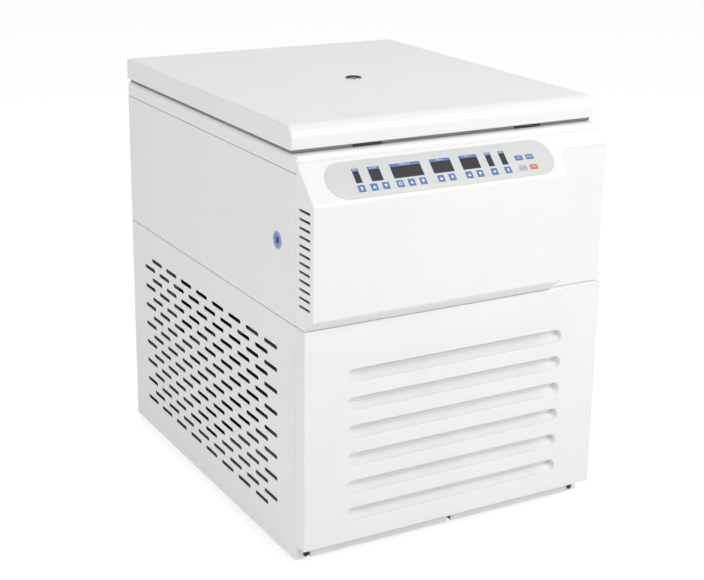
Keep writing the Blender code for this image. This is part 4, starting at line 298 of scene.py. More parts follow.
def look(name, slot, colour, roughness, metallic=0.0, vary=0.02, patch=7.0, uneven=0.05,
         grain=900.0, depth=0.00004, stretch=(1, 1, 1), specular=0.5):
    """A material whose colour, gloss and relief each follow noise of their own scale."""
    material = bpy.data.materials.new(name)
    material.use_nodes = True
    tree = material.node_tree
    shader = tree.nodes["Principled BSDF"]
    shader.inputs["Metallic"].default_value = metallic
    shader.inputs["Specular IOR Level"].default_value = specular
    dark = tuple(channel * (1 - vary) for channel in colour)
    light = tuple(min(1, channel * (1 + vary)) for channel in colour)
    tint = ramp(tree, noise(tree, patch, 4, stretch), dark, light)
    tree.links.new(tint, shader.inputs["Base Color"])
    gloss = spread(tree, noise(tree, patch * 6, 3, stretch), roughness - uneven, roughness + uneven)
    tree.links.new(gloss, shader.inputs["Roughness"])
    relief = noise(tree, grain, 2, stretch)
    bump = node_of(tree, "Bump", [("Distance", depth), ("Strength", 1.0)], [("Height", relief)])
    tree.links.new(bump.outputs["Normal"], shader.inputs["Normal"])
    LOOKS[name] = (material, slot)
    return material


WHITE = (0.86, 0.86, 0.85)
look("powder_coat", "panel", WHITE, 0.42, vary=0.012, grain=800, depth=0.00003)
look("moulded_white", "moulding", (0.87, 0.87, 0.86), 0.38, vary=0.010, grain=2200, depth=0.00002)
look("overlay_film", "overlay", (0.66, 0.67, 0.65), 0.48, vary=0.02, grain=3600, depth=0.00003)
look("window_film", "display", (0.045, 0.045, 0.043), 0.30, vary=0.10, grain=3000, depth=0.00001,
     specular=0.2)
look("segment_grey", "display", (0.062, 0.060, 0.057), 0.40, vary=0.10, specular=0.2)
look("print_blue", "key_blue", (0.11, 0.20, 0.46), 0.45, vary=0.04, grain=3000, depth=0.00002)
look("print_white", "overlay", (0.80, 0.82, 0.84), 0.50)
look("print_grey", "overlay", (0.30, 0.31, 0.31), 0.50)
look("badge_blue", "key_blue", (0.19, 0.30, 0.60), 0.45, vary=0.04, grain=3000, depth=0.00002)
# A lighter copy of the badge's blue, painted as the highlight along the badge's rim.
look("badge_painted_highlight", "key_blue", (0.42, 0.52, 0.72), 0.45, vary=0.04, grain=3000, depth=0.00002)
look("key_blue", "key_blue", (0.11, 0.20, 0.46), 0.42, vary=0.04, grain=3000, depth=0.00003)
look("key_grey", "key_grey", (0.48, 0.48, 0.45), 0.45, vary=0.03, grain=3000, depth=0.00003)
look("key_red", "key_red", (0.66, 0.17, 0.14), 0.42, vary=0.04, grain=3000, depth=0.00003)
look("black_plastic", "black_plastic", (0.028, 0.028, 0.029), 0.48, vary=0.15, grain=1800, depth=0.00005)
look("rubber", "rubber", (0.030, 0.030, 0.031), 0.78, vary=0.20, grain=1500, depth=0.00008)
# Near-black filter mat, its darkness partly painted shade for the inside behind the slots.
look("filter_mat_and_shade", "rubber", (0.022, 0.022, 0.023), 0.95, vary=0.30, grain=700, depth=0.0006)
# Grey rubber of the chamber seal, also used for the strip under the lid that paints the shade in the gap.
look("seal_rubber", "seal_rubber", (0.20, 0.20, 0.21), 0.70, vary=0.10, grain=1500, depth=0.00006)
look("foam", "foam", (0.78, 0.72, 0.55), 0.92, vary=0.08, grain=500, depth=0.0004)
look("stainless", "stainless", (0.62, 0.62, 0.63), 0.27, 1.0, 0.05, 5, 0.06, 60, 0.00001, (1, 1, 30))
look("liner_steel", "zinc_steel", (0.62, 0.63, 0.64), 0.34, 1.0, 0.04, 5, 0.05, 60, 0.00001, (1, 30, 30))
look("zinc_steel", "zinc_steel", (0.55, 0.56, 0.58), 0.38, 1.0, 0.12, 60, 0.10, 700, 0.00003)
look("copper", "copper", (0.72, 0.38, 0.26), 0.33, 1.0, 0.12, 20, 0.08)
look("aluminium", "aluminium", (0.70, 0.71, 0.72), 0.34, 1.0, 0.05, 9, 0.06, 90, 0.00001, (1, 1, 25))
look("fins", "aluminium", (0.62, 0.63, 0.64), 0.45, 1.0, 0.25, 30, 0.08, 500, 0.0008, (1, 0.02, 0.02))
look("anodised", "anodised", (0.10, 0.10, 0.11), 0.36, 0.6, 0.10, 9, 0.06, 90, 0.00002, (1, 1, 25))
look("black_paint", "black_paint", (0.020, 0.020, 0.021), 0.42, vary=0.20, grain=900, depth=0.00006)
look("controller_grey", "controller", (0.55, 0.56, 0.57), 0.45, vary=0.05, grain=900, depth=0.00003)


def make_glass():
    colour = (0.42, 0.47, 0.47)
    material = look("port_glass", "port_glass", colour, 0.06, uneven=0.02, vary=0.02, depth=0.000005)
    shader = material.node_tree.nodes["Principled BSDF"]
    shader.inputs["Transmission Weight"].default_value = 1.0
    shader.inputs["IOR"].default_value = 1.5


make_glass()


# Tools

def to_object(name, bm):
    bmesh.ops.recalc_face_normals(bm, faces=bm.faces)
    mesh = bpy.data.meshes.new(name)
    bm.to_mesh(mesh)
    bm.free()
    obj = bpy.data.objects.new(name, mesh)
    bpy.context.scene.collection.objects.link(obj)
    return obj


def dress(obj, look_name, body="cabinet", replaces=(), angle=35):
    """Gives a piece its material, sets it on its body and hides what it stands for."""
    material, slot = LOOKS[look_name]
    obj.data.materials.clear()
    obj.data.materials.append(material)
    obj.data.shade_smooth()
    obj.data.set_sharp_from_angle(angle=math.radians(angle))
    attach(obj, body)
    if replaces:
        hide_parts(*replaces)


def flatten(obj):
    """Applies the modifiers of an object."""
    bpy.context.view_layer.update()
    graph = bpy.context.evaluated_depsgraph_get()
    mesh = bpy.data.meshes.new_from_object(obj.evaluated_get(graph))
    obj.modifiers.clear()
    obj.data = mesh


def carve(obj, other, operation="DIFFERENCE"):
    """Cuts another object out of one, or joins it on, and removes the other."""
    modifier = obj.modifiers.new("carve", "BOOLEAN")
    modifier.operation = operation
    modifier.solver = "EXACT"
    modifier.object = other
    flatten(obj)
    bpy.data.objects.remove(other)
    return obj


def soften(obj, width=EDGE, segments=2, angle=40):
    """A fine radius on every sharp edge, with the flat faces kept flat."""
    bevel = obj.modifiers.new("edge", "BEVEL")
    bevel.width = width
    bevel.segments = segments
    bevel.limit_method = "ANGLE"
    bevel.angle_limit = math.radians(angle)
    bevel.miter_outer = "MITER_ARC"
    weighted = obj.modifiers.new("normals", "WEIGHTED_NORMAL")
    weighted.keep_sharp = True
    return obj


def span(bm, ring, after):
    """Faces between two rings of as many points."""
    for index in range(len(ring)):
        ahead = (index + 1) % len(ring)
        bm.faces.new((ring[index], ring[ahead], after[ahead], after[index]))


def loft(name, rings):
    """Faces between rings of points, with flat ends."""
    bm = bmesh.new()
    made = [[bm.verts.new(point) for point in ring] for ring in rings]
    bm.faces.new(made[0])
    bm.faces.new(made[-1])
    for ring, after in zip(made, made[1:]):
        span(bm, ring, after)
    bmesh.ops.remove_doubles(bm, verts=bm.verts, dist=1e-7)
    return to_object(name, bm)


def prism(name, outline, start, end, axis="X"):
    """An outline in the other two axes, swept along X or Z."""
    rings = []
    for along in (start, end):
        rings.append([Vector((along, a, b) if axis == "X" else (a, b, along)) for a, b in outline])
    return loft(name, rings)


def lathe(name, profile, steps, matrix=AXIS):
    """A turned solid from a closed outline of (radius, height) points."""
    bm = bmesh.new()
    rings = []
    for step in range(steps):
        turn = matrix @ Matrix.Rotation(math.tau * step / steps, 4, "Z")
        rings.append([bm.verts.new(turn @ Vector((radius, 0, height))) for radius, height in profile])
    for ring, after in zip(rings, rings[1:] + rings[:1]):
        for index, (radius, _) in enumerate(profile):
            ahead = (index + 1) % len(profile)
            if radius or profile[ahead][0]:
                bm.faces.new((ring[index], ring[ahead], after[ahead], after[index]))
    bmesh.ops.remove_doubles(bm, verts=bm.verts, dist=1e-7)
    return to_object(name, bm)


def block(name, start, end, radius=0.0, segments=3, chosen=lambda middle, way: True):
    """A box between two corners, with its chosen edges rounded."""
    start, end = Vector(start), Vector(end)
    bm = bmesh.new()
    bmesh.ops.create_cube(bm, size=1.0)
    size = Matrix.Diagonal((*(end - start), 1.0))
    bmesh.ops.transform(bm, matrix=Matrix.Translation((start + end) / 2) @ size, verts=bm.verts)
    obj = to_object(name, bm)
    if radius:
        round_edges(obj, radius, segments, chosen)
    return obj


def round_edges(obj, radius, segments, chosen):
    """Rounds the edges for which chosen(middle, direction) is true."""
    bm = bmesh.new()
    bm.from_mesh(obj.data)
    edges = []
    for edge in bm.edges:
        start, end = (vertex.co for vertex in edge.verts)
        if chosen((start + end) / 2, (end - start).normalized()):
            edges.append(edge)
    bmesh.ops.bevel(bm, geom=edges, offset=radius, segments=segments, profile=0.5, affect="EDGES")
    bm.to_mesh(obj.data)
    bm.free()
    return obj


def scatter(name, pattern, places):
    """Copies of a pattern in the given frames, in one mesh; the pattern is removed."""
    bm = bmesh.new()
    for place in places:
        copy = pattern.data.copy()
        copy.transform(place)
        bm.from_mesh(copy)
        bpy.data.meshes.remove(copy)
    bpy.data.objects.remove(pattern)
    return to_object(name, bm)


def arc(centre, radius, start, end, segments):
    points = []
    for index in range(segments + 1):
        angle = start + (end - start) * index / segments
        points.append((centre[0] + radius * math.cos(angle), centre[1] + radius * math.sin(angle)))
    return points


def circle(x, y, radius, segments):
    return arc((x, y), radius, 0, math.tau, segments)[:-1]


def quarter(steps):
    """The angles of a quarter turn."""
    return [math.pi / 2 * step / steps for step in range(steps + 1)]


def filleted(corners):
    """An outline from (across, along) corners, rounded where they add a (radius, segments)."""
    outline = []
    for index, (across, along, *fillet) in enumerate(corners):
        here = Vector((across, along))
        if not fillet or not fillet[0]:
            outline.append(tuple(here))
            continue
        radius, segments = fillet
        before = (Vector(corners[index - 1][:2]) - here).normalized()
        after = (Vector(corners[(index + 1) % len(corners)][:2]) - here).normalized()
        half = before.angle(after) / 2
        centre = here + (before + after).normalized() * radius / math.sin(half)
        first = here + before * radius / math.tan(half) - centre
        last = here + after * radius / math.tan(half) - centre
        sweep = math.pi - 2 * half
        side = 1 if first.x * last.y - first.y * last.x > 0 else -1
        start = math.atan2(first.y, first.x)
        outline += arc(centre, radius, start, start + side * sweep, segments)
    return outline


def oblong(across, along, length, height, segments=VENT_STEPS):
    """A slot outline with round ends, along its longer side."""
    radius = min(length, height) / 2
    if length >= height:
        reach = length / 2 - radius
        right = arc((across + reach, along), radius, -math.pi / 2, math.pi / 2, segments)
        return right + arc((across - reach, along), radius, math.pi / 2, 1.5 * math.pi, segments)
    reach = height / 2 - radius
    top = arc((across, along + reach), radius, 0, math.pi, segments)
    return top + arc((across, along - reach), radius, math.pi, math.tau, segments)


def rectangle(across, along, width, height, corner=0.0, segments=3):
    left, right = across - width / 2, across + width / 2
    bottom, top = along - height / 2, along + height / 2
    corners = [(left, bottom), (right, bottom), (right, top), (left, top)]
    return filleted([(*point, corner, segments) for point in corners])


def stamps(name, outlines, bottom, top, matrix):
    """Flat shapes made solid between two heights of a frame, all in one mesh."""
    bm = bmesh.new()
    for outline in outlines:
        rings = [[bm.verts.new(matrix @ Vector((*point, z))) for point in outline] for z in (bottom, top)]
        bm.faces.new(rings[0])
        bm.faces.new(rings[1])
        span(bm, *rings)
    return to_object(name, bm)


def plate(name, loops, bottom, top, matrix, edge=0.0):
    """A flat outline with holes, solid between two heights of a frame, with fine round edges."""
    curve = bpy.data.curves.new(name, "CURVE")
    curve.dimensions = "2D"
    curve.fill_mode = "BOTH"
    curve.extrude = (top - bottom) / 2 - edge
    curve.bevel_depth = edge
    curve.bevel_resolution = 1
    curve.offset = -edge
    for loop in loops:
        spline = curve.splines.new("POLY")
        spline.points.add(len(loop) - 1)
        spline.use_cyclic_u = True
        for point, (across, along) in zip(spline.points, loop):
            point.co = (across, along, 0, 1)
    bm = bmesh.new()
    bm.from_mesh(meshed(curve))
    bmesh.ops.remove_doubles(bm, verts=bm.verts, dist=1e-6)
    bmesh.ops.transform(bm, matrix=matrix @ Matrix.Translation((0, 0, (bottom + top) / 2)), verts=bm.verts)
    return to_object(name, bm)


def meshed(curve):
    """The mesh of a curve or of a text."""
    guide = bpy.data.objects.new("guide", curve)
    bpy.context.scene.collection.objects.link(guide)
    bpy.context.view_layer.update()
    graph = bpy.context.evaluated_depsgraph_get()
    mesh = bpy.data.meshes.new_from_object(guide.evaluated_get(graph))
    bpy.data.objects.remove(guide)
    return mesh


def lettering(name, words, bottom, top, matrix):
    """Words in the built-in font, from (text, x, y, room) with the room that each may fill."""
    bm = bmesh.new()
    for words_text, x, y, room in words:
        curve = bpy.data.curves.new(name, "FONT")
        curve.body = words_text
        curve.size = min(WORD_SIZE, room / (LETTER_WIDTH * len(words_text)))
        curve.align_x = curve.align_y = "CENTER"
        curve.resolution_u = 3
        curve.extrude = (top - bottom) / 2
        mesh = meshed(curve)
        mesh.transform(matrix @ Matrix.Translation((x, y, (bottom + top) / 2)))
        bm.from_mesh(mesh)
    return to_object(name, bm)


def facing(side):
    """A frame standing on a cabinet side: x runs along the depth and z points outwards."""
    if side < 0:
        return Matrix(((0, 0, -1, -X_SIDE), (-1, 0, 0, 0), (0, 1, 0, 0), (0, 0, 0, 1)))
    return Matrix(((0, 0, 1, X_SIDE), (1, 0, 0, 0), (0, 1, 0, 0), (0, 0, 0, 1)))


def facing_rear(y):
    return Matrix(((-1, 0, 0, 0), (0, 0, 1, y), (0, 1, 0, 0), (0, 0, 0, 1)))


def facing_front(y):
    return Matrix(((1, 0, 0, 0), (0, 0, -1, y), (0, 1, 0, 0), (0, 0, 0, 1)))


def face_frame(node, way):
    """A frame on a node's largest face towards a direction, with z pointing out of it."""
    faces = [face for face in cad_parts[node].data.polygons if face.normal.dot(way) > 0.8]
    face = max(faces, key=lambda candidate: candidate.area)
    across = Vector((0, 0, 1)).cross(face.normal).normalized()
    axes = Matrix((across, face.normal.cross(across), face.normal)).transposed()
    return Matrix.Translation(face.center) @ axes.to_4x4()


def at(place, x, y):
    """A frame moved within its own plane."""
    return place @ Matrix.Translation((x, y, 0))


def on_axis(z):
    return Vector((CHAMBER.x, CHAMBER.y, z))


def is_upright(middle, way):
    return abs(way.z) > 0.9


def cylinder(name, radius, start, end, steps):
    """A plain cutter between two points."""
    start, end = Vector(start), Vector(end)
    turn = Vector((0, 0, 1)).rotation_difference(end - start).to_matrix().to_4x4()
    length = (end - start).length
    profile = [(0, 0), (radius, 0), (radius, length), (0, length)]
    return lathe(name, profile, steps, Matrix.Translation(start) @ turn)


def screws(name, finish, body, places, radius=SCREW_RADIUS):
    """Pan-head screws with a cross recess, in frames whose z points out of the surface."""
    outline = filleted([
        (0, 0),
        (radius, 0),
        (radius, radius * SCREW_EDGE, radius * 0.20, 4),
        (radius * SCREW_CROWN, radius * SCREW_HEIGHT, radius * 0.30, 4),
        (0, radius * SCREW_HEIGHT),
    ])
    head = lathe("screw", outline, 24, Matrix.Identity(4))
    long, short = radius * CROSS_LENGTH, radius * CROSS_WIDTH
    for x, y in ((long, short), (short, long)):
        carve(head, block("recess", (-x, -y, radius * CROSS_FLOOR), (x, y, radius)))
    dress(scatter(name, head, places), finish, body)


# Cabinet

def side_section(side):
    """The folded section of a side panel, seen from above."""
    outer, flange = side * X_SIDE, side * (X_SIDE - FOLD_WIDTH)
    inner = side * (X_SIDE - SHEET)
    return filleted([
        (flange, Y_FRONT),
        (outer, Y_FRONT, BEND_RADIUS, 8),
        (outer, Y_REAR, BEND_RADIUS, 8),
        (flange, Y_REAR),
        (flange, Y_REAR - SHEET),
        (inner, Y_REAR - SHEET, BEND_RADIUS - SHEET, 8),
        (inner, Y_FRONT + SHEET, BEND_RADIUS - SHEET, 8),
        (flange, Y_FRONT + SHEET),
    ])


def side_vents():
    """The staggered slots of a lower side panel, as (depth, height) outlines."""
    outlines = []
    for row in range(VENT_ROWS):
        z = Z_BASE + VENT_TOP - row * VENT_ROW_PITCH
        for column in range(VENT_COLUMNS):
            y = Y_FRONT + VENT_FRONT + (column + row % 2 / 2) * VENT_PITCH
            outlines.append(oblong(y, z, VENT_LENGTH, VENT_HEIGHT))
    return outlines


def make_side(node, side, cutter=None):
    panel = prism(node + "_skin", side_section(side), low(node).z, high(node).z, "Z")
    if cutter:
        carve(panel, cutter)
    dress(soften(panel, PANEL_EDGE), "powder_coat", replaces=[node])


def make_sides():
    for name, side in (("left", -1), ("right", 1)):
        turned = [[(side * y, z) for y, z in outline] for outline in side_vents()]
        vents = stamps("vents", turned, -SHEET - OVERRUN, OVERRUN, facing(side))
        make_side(f"lower_side_{name}", side, vents)
        make_side(f"upper_side_{name}", side, release_hole() if side < 0 else None)


def release_hole():
    """The cutter for the emergency release's hole in the upper left side."""
    node = "release_escutcheon"
    place = middle_of(node)
    radius = (high(node).z - low(node).z) / 2
    start = Vector((-X_SIDE - OVERRUN, place.y, place.z))
    end = Vector((-X_SIDE + SHEET + OVERRUN, place.y, place.z))
    return cylinder("hole", radius + CLEARANCE - RELEASE_COLLAR, start, end, 64)


def make_rear_panel():
    bottom, top = low("rear_panel").z, high("rear_panel").z
    x = X_SIDE - FOLD_WIDTH - CLEARANCE
    panel = block("rear_skin", (-x, Y_REAR - SHEET, bottom), (x, Y_REAR, top))
    rear = facing_rear(Y_REAR)
    outlines = []
    for row in range(REAR_VENT_ROWS):
        z = Z_BASE + REAR_VENT_LOW + row * REAR_VENT_PITCH
        for across in (REAR_VENT_COLUMN, 0):
            outlines.append(oblong(across, z, REAR_VENT_LENGTH, REAR_VENT_HEIGHT))
    carve(panel, stamps("vents", outlines, -SHEET - OVERRUN, OVERRUN, rear))
    carve(panel, power_hole())
    dress(soften(panel, PANEL_EDGE), "powder_coat", replaces=["rear_panel"])
    make_hoods(outlines)
    make_shade_filter(outlines)
    x -= SCREW_INSET
    bottom, top = bottom + SCREW_INSET, top - SCREW_INSET
    places = []
    for share in (0.0, 0.25, 0.5, 0.75, 1.0):
        for side in (-1, 1):
            places.append(at(rear, side * x, bottom + share * (top - bottom)))
    screws("rear_panel_screws", "zinc_steel", "cabinet", places)


def power_hole():
    """The cutter behind the power entry, whose plate laps it all round."""
    start, end = low("power_entry"), high("power_entry")
    start = (start.x + POWER_INSET - CLEARANCE, Y_REAR - SHEET - OVERRUN, start.z + POWER_INSET - CLEARANCE)
    end = (end.x - POWER_INSET + CLEARANCE, Y_REAR + OVERRUN, end.z - POWER_INSET + CLEARANCE)
    return block("power_hole", start, end)


def make_shade_filter(outlines):
    """The near-black filter mat inside the rear slots, whose darkness is partly painted shade for the
    cabinet's inside.
    """
    across = [-point[0] for outline in outlines for point in outline]
    along = [point[1] for outline in outlines for point in outline]
    face = Y_REAR - SHEET - CLEARANCE
    start = (min(across) - SHADE_FILTER_MARGIN, face - SHADE_FILTER_THICKNESS, min(along) - SHADE_FILTER_MARGIN)
    end = (max(across) + SHADE_FILTER_MARGIN, face, max(along) + SHADE_FILTER_MARGIN)
    dress(soften(block("rear_vent_shade_filter", start, end)), "filter_mat_and_shade")


def hood_solid(inset):
    """A blister over one rear slot, standing on the panel, less an inset all round."""
    rings = []
    length, height = REAR_VENT_LENGTH + 2 * HOOD_MARGIN, REAR_VENT_HEIGHT + 2 * HOOD_MARGIN
    for angle in quarter(HOOD_STEPS):
        shrink = inset + HOOD_MARGIN * HOOD_TAPER * (1 - math.cos(angle))
        z = (HOOD_RISE - inset) * math.sin(angle)
        if inset and not angle:
            z -= OVERRUN
        outline = oblong(0, 0, length - 2 * shrink, height - 2 * shrink, 6)
        rings.append([Vector((x, y, z)) for x, y in outline])
    return loft("hood", rings)


def make_hoods(outlines):
    """Pressed hoods over the rear slots, each open along its lower side."""
    hood = carve(hood_solid(0), hood_solid(HOOD_SKIN))
    lower = -REAR_VENT_HEIGHT / 2
    reach = REAR_VENT_LENGTH
    carve(hood, block("open_side", (-reach, lower - reach, -OVERRUN), (reach, lower, HOOD_RISE + OVERRUN)))
    places = []
    for outline in outlines:
        x = sum(point[0] for point in outline) / len(outline)
        z = sum(point[1] for point in outline) / len(outline)
        places.append(at(facing_rear(Y_REAR), x, z))
    dress(scatter("rear_vent_hoods", hood, places), "powder_coat")


def make_front_panel():
    """A pressed panel: one skin with rounded edges and six louvres pressed into it."""
    z_low, z_high = low("lower_front_panel").z, high("lower_front_panel").z
    y_back = high("lower_front_panel").y
    panel = block("front_panel_skin", (-X_SIDE, Y_PANEL, z_low), (X_SIDE, y_back, z_high))
    round_edges(panel, FRONT_EDGE, 6, lambda middle, way: middle.y < y_back - OVERRUN)
    wall = FRONT_SKIN
    start = (-X_SIDE + wall, Y_PANEL + wall, z_low + wall)
    end = (X_SIDE - wall, y_back + OVERRUN, z_high - wall)
    carve(panel, block("inside", start, end))
    reach = LOUVRE_LENGTH / 2 - LOUVRE_SLIT_INSET
    for index in range(LOUVRE_COUNT):
        z = Z_BASE + LOUVRE_TOP - index * LOUVRE_PITCH
        carve(panel, louvre(z, wall), operation="UNION")
        carve(panel, louvre(z, 0))
        ceiling = z + LOUVRE_HEIGHT / 2
        start = (-reach, Y_PANEL + 2 * LOUVRE_LIP + wall, ceiling - CLEARANCE)
        end = (reach, Y_PANEL + LOUVRE_DEPTH - CLEARANCE, ceiling + wall + OVERRUN)
        carve(panel, block("slit", start, end))
    dress(panel, "powder_coat", replaces=["lower_front_panel"], angle=50)


def louvre(z, skin):
    """The hollow of a louvre, or with a skin its outside: a slot whose floor rises as it goes in."""
    height, length = LOUVRE_HEIGHT, LOUVRE_LENGTH
    top = z + height / 2
    rise = height - LOUVRE_BACK_HEIGHT
    stages = [(FRONT_SKIN / 2, -skin, 0.0)] if skin else louvre_mouth()
    lead = LOUVRE_LIP / LOUVRE_DEPTH
    for share in LOUVRE_SHARES:
        depth = LOUVRE_DEPTH * (lead + (1 - lead) * share) + (skin if share == 1.0 else 0)
        stages.append((depth, -skin, rise * min(1, share * LOUVRE_STEEPNESS)))
    rings = []
    for depth, inset, raised in stages:
        outline = oblong(0, 0, length - 2 * inset, height - 2 * inset, LOUVRE_STEPS)
        share = (height - 2 * inset - raised) / (height - 2 * inset)
        half = height / 2 - inset
        rings.append([Vector((x, Y_PANEL + depth, top - inset + (y - half) * share)) for x, y in outline])
    return loft("louvre", rings)


def louvre_mouth():
    """The rounded lip of a louvre, as (depth, inset, rise) stages."""
    stages = [(-OVERRUN, -LOUVRE_LIP, 0.0)]
    for angle in quarter(LOUVRE_LIP_STEPS):
        stages.append((LOUVRE_LIP * (1 - math.cos(angle)), -LOUVRE_LIP * (1 - math.sin(angle)), 0.0))
    return stages


def make_base():
    lip = facing_front(low("base_tray").y)
    x, z = high("base_tray").x - LIP_SCREW_INSET, Z_BASE + LIP_SCREW_HEIGHT
    places = [at(lip, side * x, z) for side in (-1, 1)]
    screws("lip_screws", "black_paint", "cabinet", places, LIP_SCREW_RADIUS)
    for name in ("front_left", "front_right", "rear_left", "rear_right"):
        node = "foot_" + name
        middle = middle_of(node)
        radius, height = half_width(node), high(node).z
        profile = filleted([(radius * wide, height * tall, *fillet) for wide, tall, *fillet in FOOT_PROFILE])
        foot = lathe(node + "_rubber", profile, 48, Matrix.Translation((middle.x, middle.y, 0)))
        dress(foot, "rubber", replaces=[node])


# Console

def console_outline(inset, back):
    """The console's side outline, drawn in by an inset, with its back at a given y."""
    bend = CONSOLE_BEND - inset
    chin = Y_FRONT - CONSOLE_CHIN_DEPTH
    slope_shift = inset / math.cos(SLOPE_ANGLE)
    chin_angle = math.atan2(CONSOLE_CHIN, chin - Y_CONSOLE)
    chin_shift = inset / math.cos(chin_angle)
    front = Y_CONSOLE + inset
    slope_at_front = Z_CONSOLE - CONSOLE_DROP - slope_shift + inset * math.tan(SLOPE_ANGLE)
    chin_at_front = Z_CHIN + CONSOLE_CHIN + chin_shift - inset * math.tan(chin_angle)
    chin_end = chin + (chin_shift - inset) / math.tan(chin_angle)
    flat = min(SLOPE_TOP.y + (slope_shift - inset) / math.tan(SLOPE_ANGLE), back - CLEARANCE)
    return filleted([
        (back, Z_CONSOLE - inset),
        (flat, Z_CONSOLE - inset),
        (front, slope_at_front, bend, 10),
        (front, chin_at_front, bend, 10),
        (chin_end, Z_CHIN + inset),
        (back, Z_CHIN + inset),
    ])


def recess_ring(inset, y):
    """The recess's outline, grown by an inset, at a depth."""
    radius = RECESS_CORNER + inset
    right, bottom = X_SIDE + 2 * OVERRUN, Z_CHIN - OVERRUN
    outline = [(right, bottom), (right, CORNER_TOP + inset)]
    outline += arc(CORNER_CENTRE, radius, math.pi / 2, math.pi, 24)
    outline += [(X_CONSOLE - inset, bottom)]
    return [Vector((x, y, z)) for x, z in outline]


def recess_cutter(inset):
    """The space right of the console's box; its back edge is a soft fillet."""
    rings = [recess_ring(inset, Y_CONSOLE - OVERRUN)]
    back = Y_RECESS + inset
    for angle in quarter(RECESS_FOOT_STEPS):
        grown = inset - RECESS_FOOT * (1 - math.cos(angle))
        rings.append(recess_ring(grown, back - RECESS_FOOT * (1 - math.sin(angle))))
    return loft("recess", rings)


def console_rings():
    """The console's outline along x, drawn in towards each end by that end's radius."""
    stages = []
    for side, radius in ((-1, CONSOLE_EDGE), (1, CONSOLE_END)):
        for angle in quarter(CONSOLE_END_STEPS):
            stages.append((side * (X_SIDE - radius * (1 - math.cos(angle))), radius * (1 - math.sin(angle))))
    rings = []
    for x, inset in sorted(stages):
        outline = console_outline(inset, high("console_fascia").y)
        rings.append([Vector((x, y, z)) for y, z in outline])
    return rings


def make_console():
    console = loft("console_moulding", console_rings())
    carve(console, recess_cutter(0))
    section = console_outline(CONSOLE_WALL, Y_FRONT + OVERRUN)
    inside = prism("inside", section, -X_SIDE + CONSOLE_WALL, X_SIDE - CONSOLE_WALL)
    carve(inside, recess_cutter(CONSOLE_WALL))
    carve(console, inside)
    outlines = []
    for index in range(CONSOLE_VENT_COUNT):
        y = Y_FRONT - CONSOLE_VENT_SETBACK - CONSOLE_VENT_LENGTH / 2
        z = Z_RIM - CONSOLE_VENT_TOP - index * CONSOLE_VENT_PITCH
        outlines.append(oblong(-y, z, CONSOLE_VENT_LENGTH, CONSOLE_VENT_HEIGHT, 6))
    carve(console, stamps("vents", outlines, -CONSOLE_WALL - OVERRUN, OVERRUN, facing(-1)))
    ends = overlay_box()
    pocket_outline = overlay_outline(ends, CLEARANCE)
    carve(console, stamps("pocket", [pocket_outline], ends["seat"] - CLEARANCE, OVERRUN, SLOPE))
    across, along = (ends["left"] + ends["right"]) / 2, (ends["top"] + ends["bottom"]) / 2
    bed = rectangle(across, along - KEYBED_DROP, KEYBED_WIDTH, KEYBED_HEIGHT)
    carve(console, stamps("keybed", [bed], -CONSOLE_WALL - OVERRUN, OVERRUN, SLOPE))
    dress(soften(console, EDGE), "moulded_white", replaces=["console_fascia"])


def on_slope(node):
    """The lowest and highest corner of a node in the slope's frame."""
    points = [SLOPE.inverted() @ vertex.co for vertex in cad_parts[node].data.vertices]
    start = Vector(min(point[axis] for point in points) for axis in range(3))
    end = Vector(max(point[axis] for point in points) for axis in range(3))
    return start, end


def overlay_box():
    start, end = on_slope("control_overlay")
    return {"left": start.x, "right": end.x, "bottom": start.y, "top": end.y, "seat": start.z, "face": end.z}


def overlay_outline(ends, grow):
    across, along = (ends["left"] + ends["right"]) / 2, (ends["bottom"] + ends["top"]) / 2
    length, height = ends["right"] - ends["left"] + 2 * grow, ends["top"] - ends["bottom"] + 2 * grow
    return oblong(across, along, length, height, 32)


def window_shapes(ends):
    """The outlines of the windows, digits, frames and headers, and the words in the headers."""
    films, digits, frames, headers, words = [], [], [], [], []
    length = ends["right"] - ends["left"]
    middle = ends["top"] - WINDOW_TOP - WINDOW_HEIGHT / 2
    for share, width, count, word in zip(WINDOW_SHARES, WINDOW_WIDTHS, WINDOW_DIGITS, HEADER_WORDS):
        x = ends["left"] + share * length
        films.append(rectangle(x, middle, width, WINDOW_HEIGHT, WINDOW_CORNER))
        wide, tall = width + 2 * OUTLINE_GAP, WINDOW_HEIGHT + 2 * OUTLINE_GAP
        for side in (-1, 1):
            frames.append(rectangle(x + side * wide / 2, middle, OUTLINE_WIDTH, tall + OUTLINE_WIDTH))
            frames.append(rectangle(x, middle + side * tall / 2, wide - OUTLINE_WIDTH, OUTLINE_WIDTH))
        z = middle + tall / 2 + OUTLINE_WIDTH / 2 + HEADER_HEIGHT / 2 - CLEARANCE
        headers.append(rectangle(x, z, wide + OUTLINE_WIDTH, HEADER_HEIGHT, HEADER_CORNER))
        words.append((word, x, z, wide * WORD_SHARE))
        pitch = min(DIGIT_PITCH, (width - DIGIT_MARGIN) / count)
        for index in range(count):
            place = x + (index - (count - 1) / 2) * pitch
            digits += seven_segments(place, middle, pitch * DIGIT_SHARE)
    return films, digits, frames, headers, words


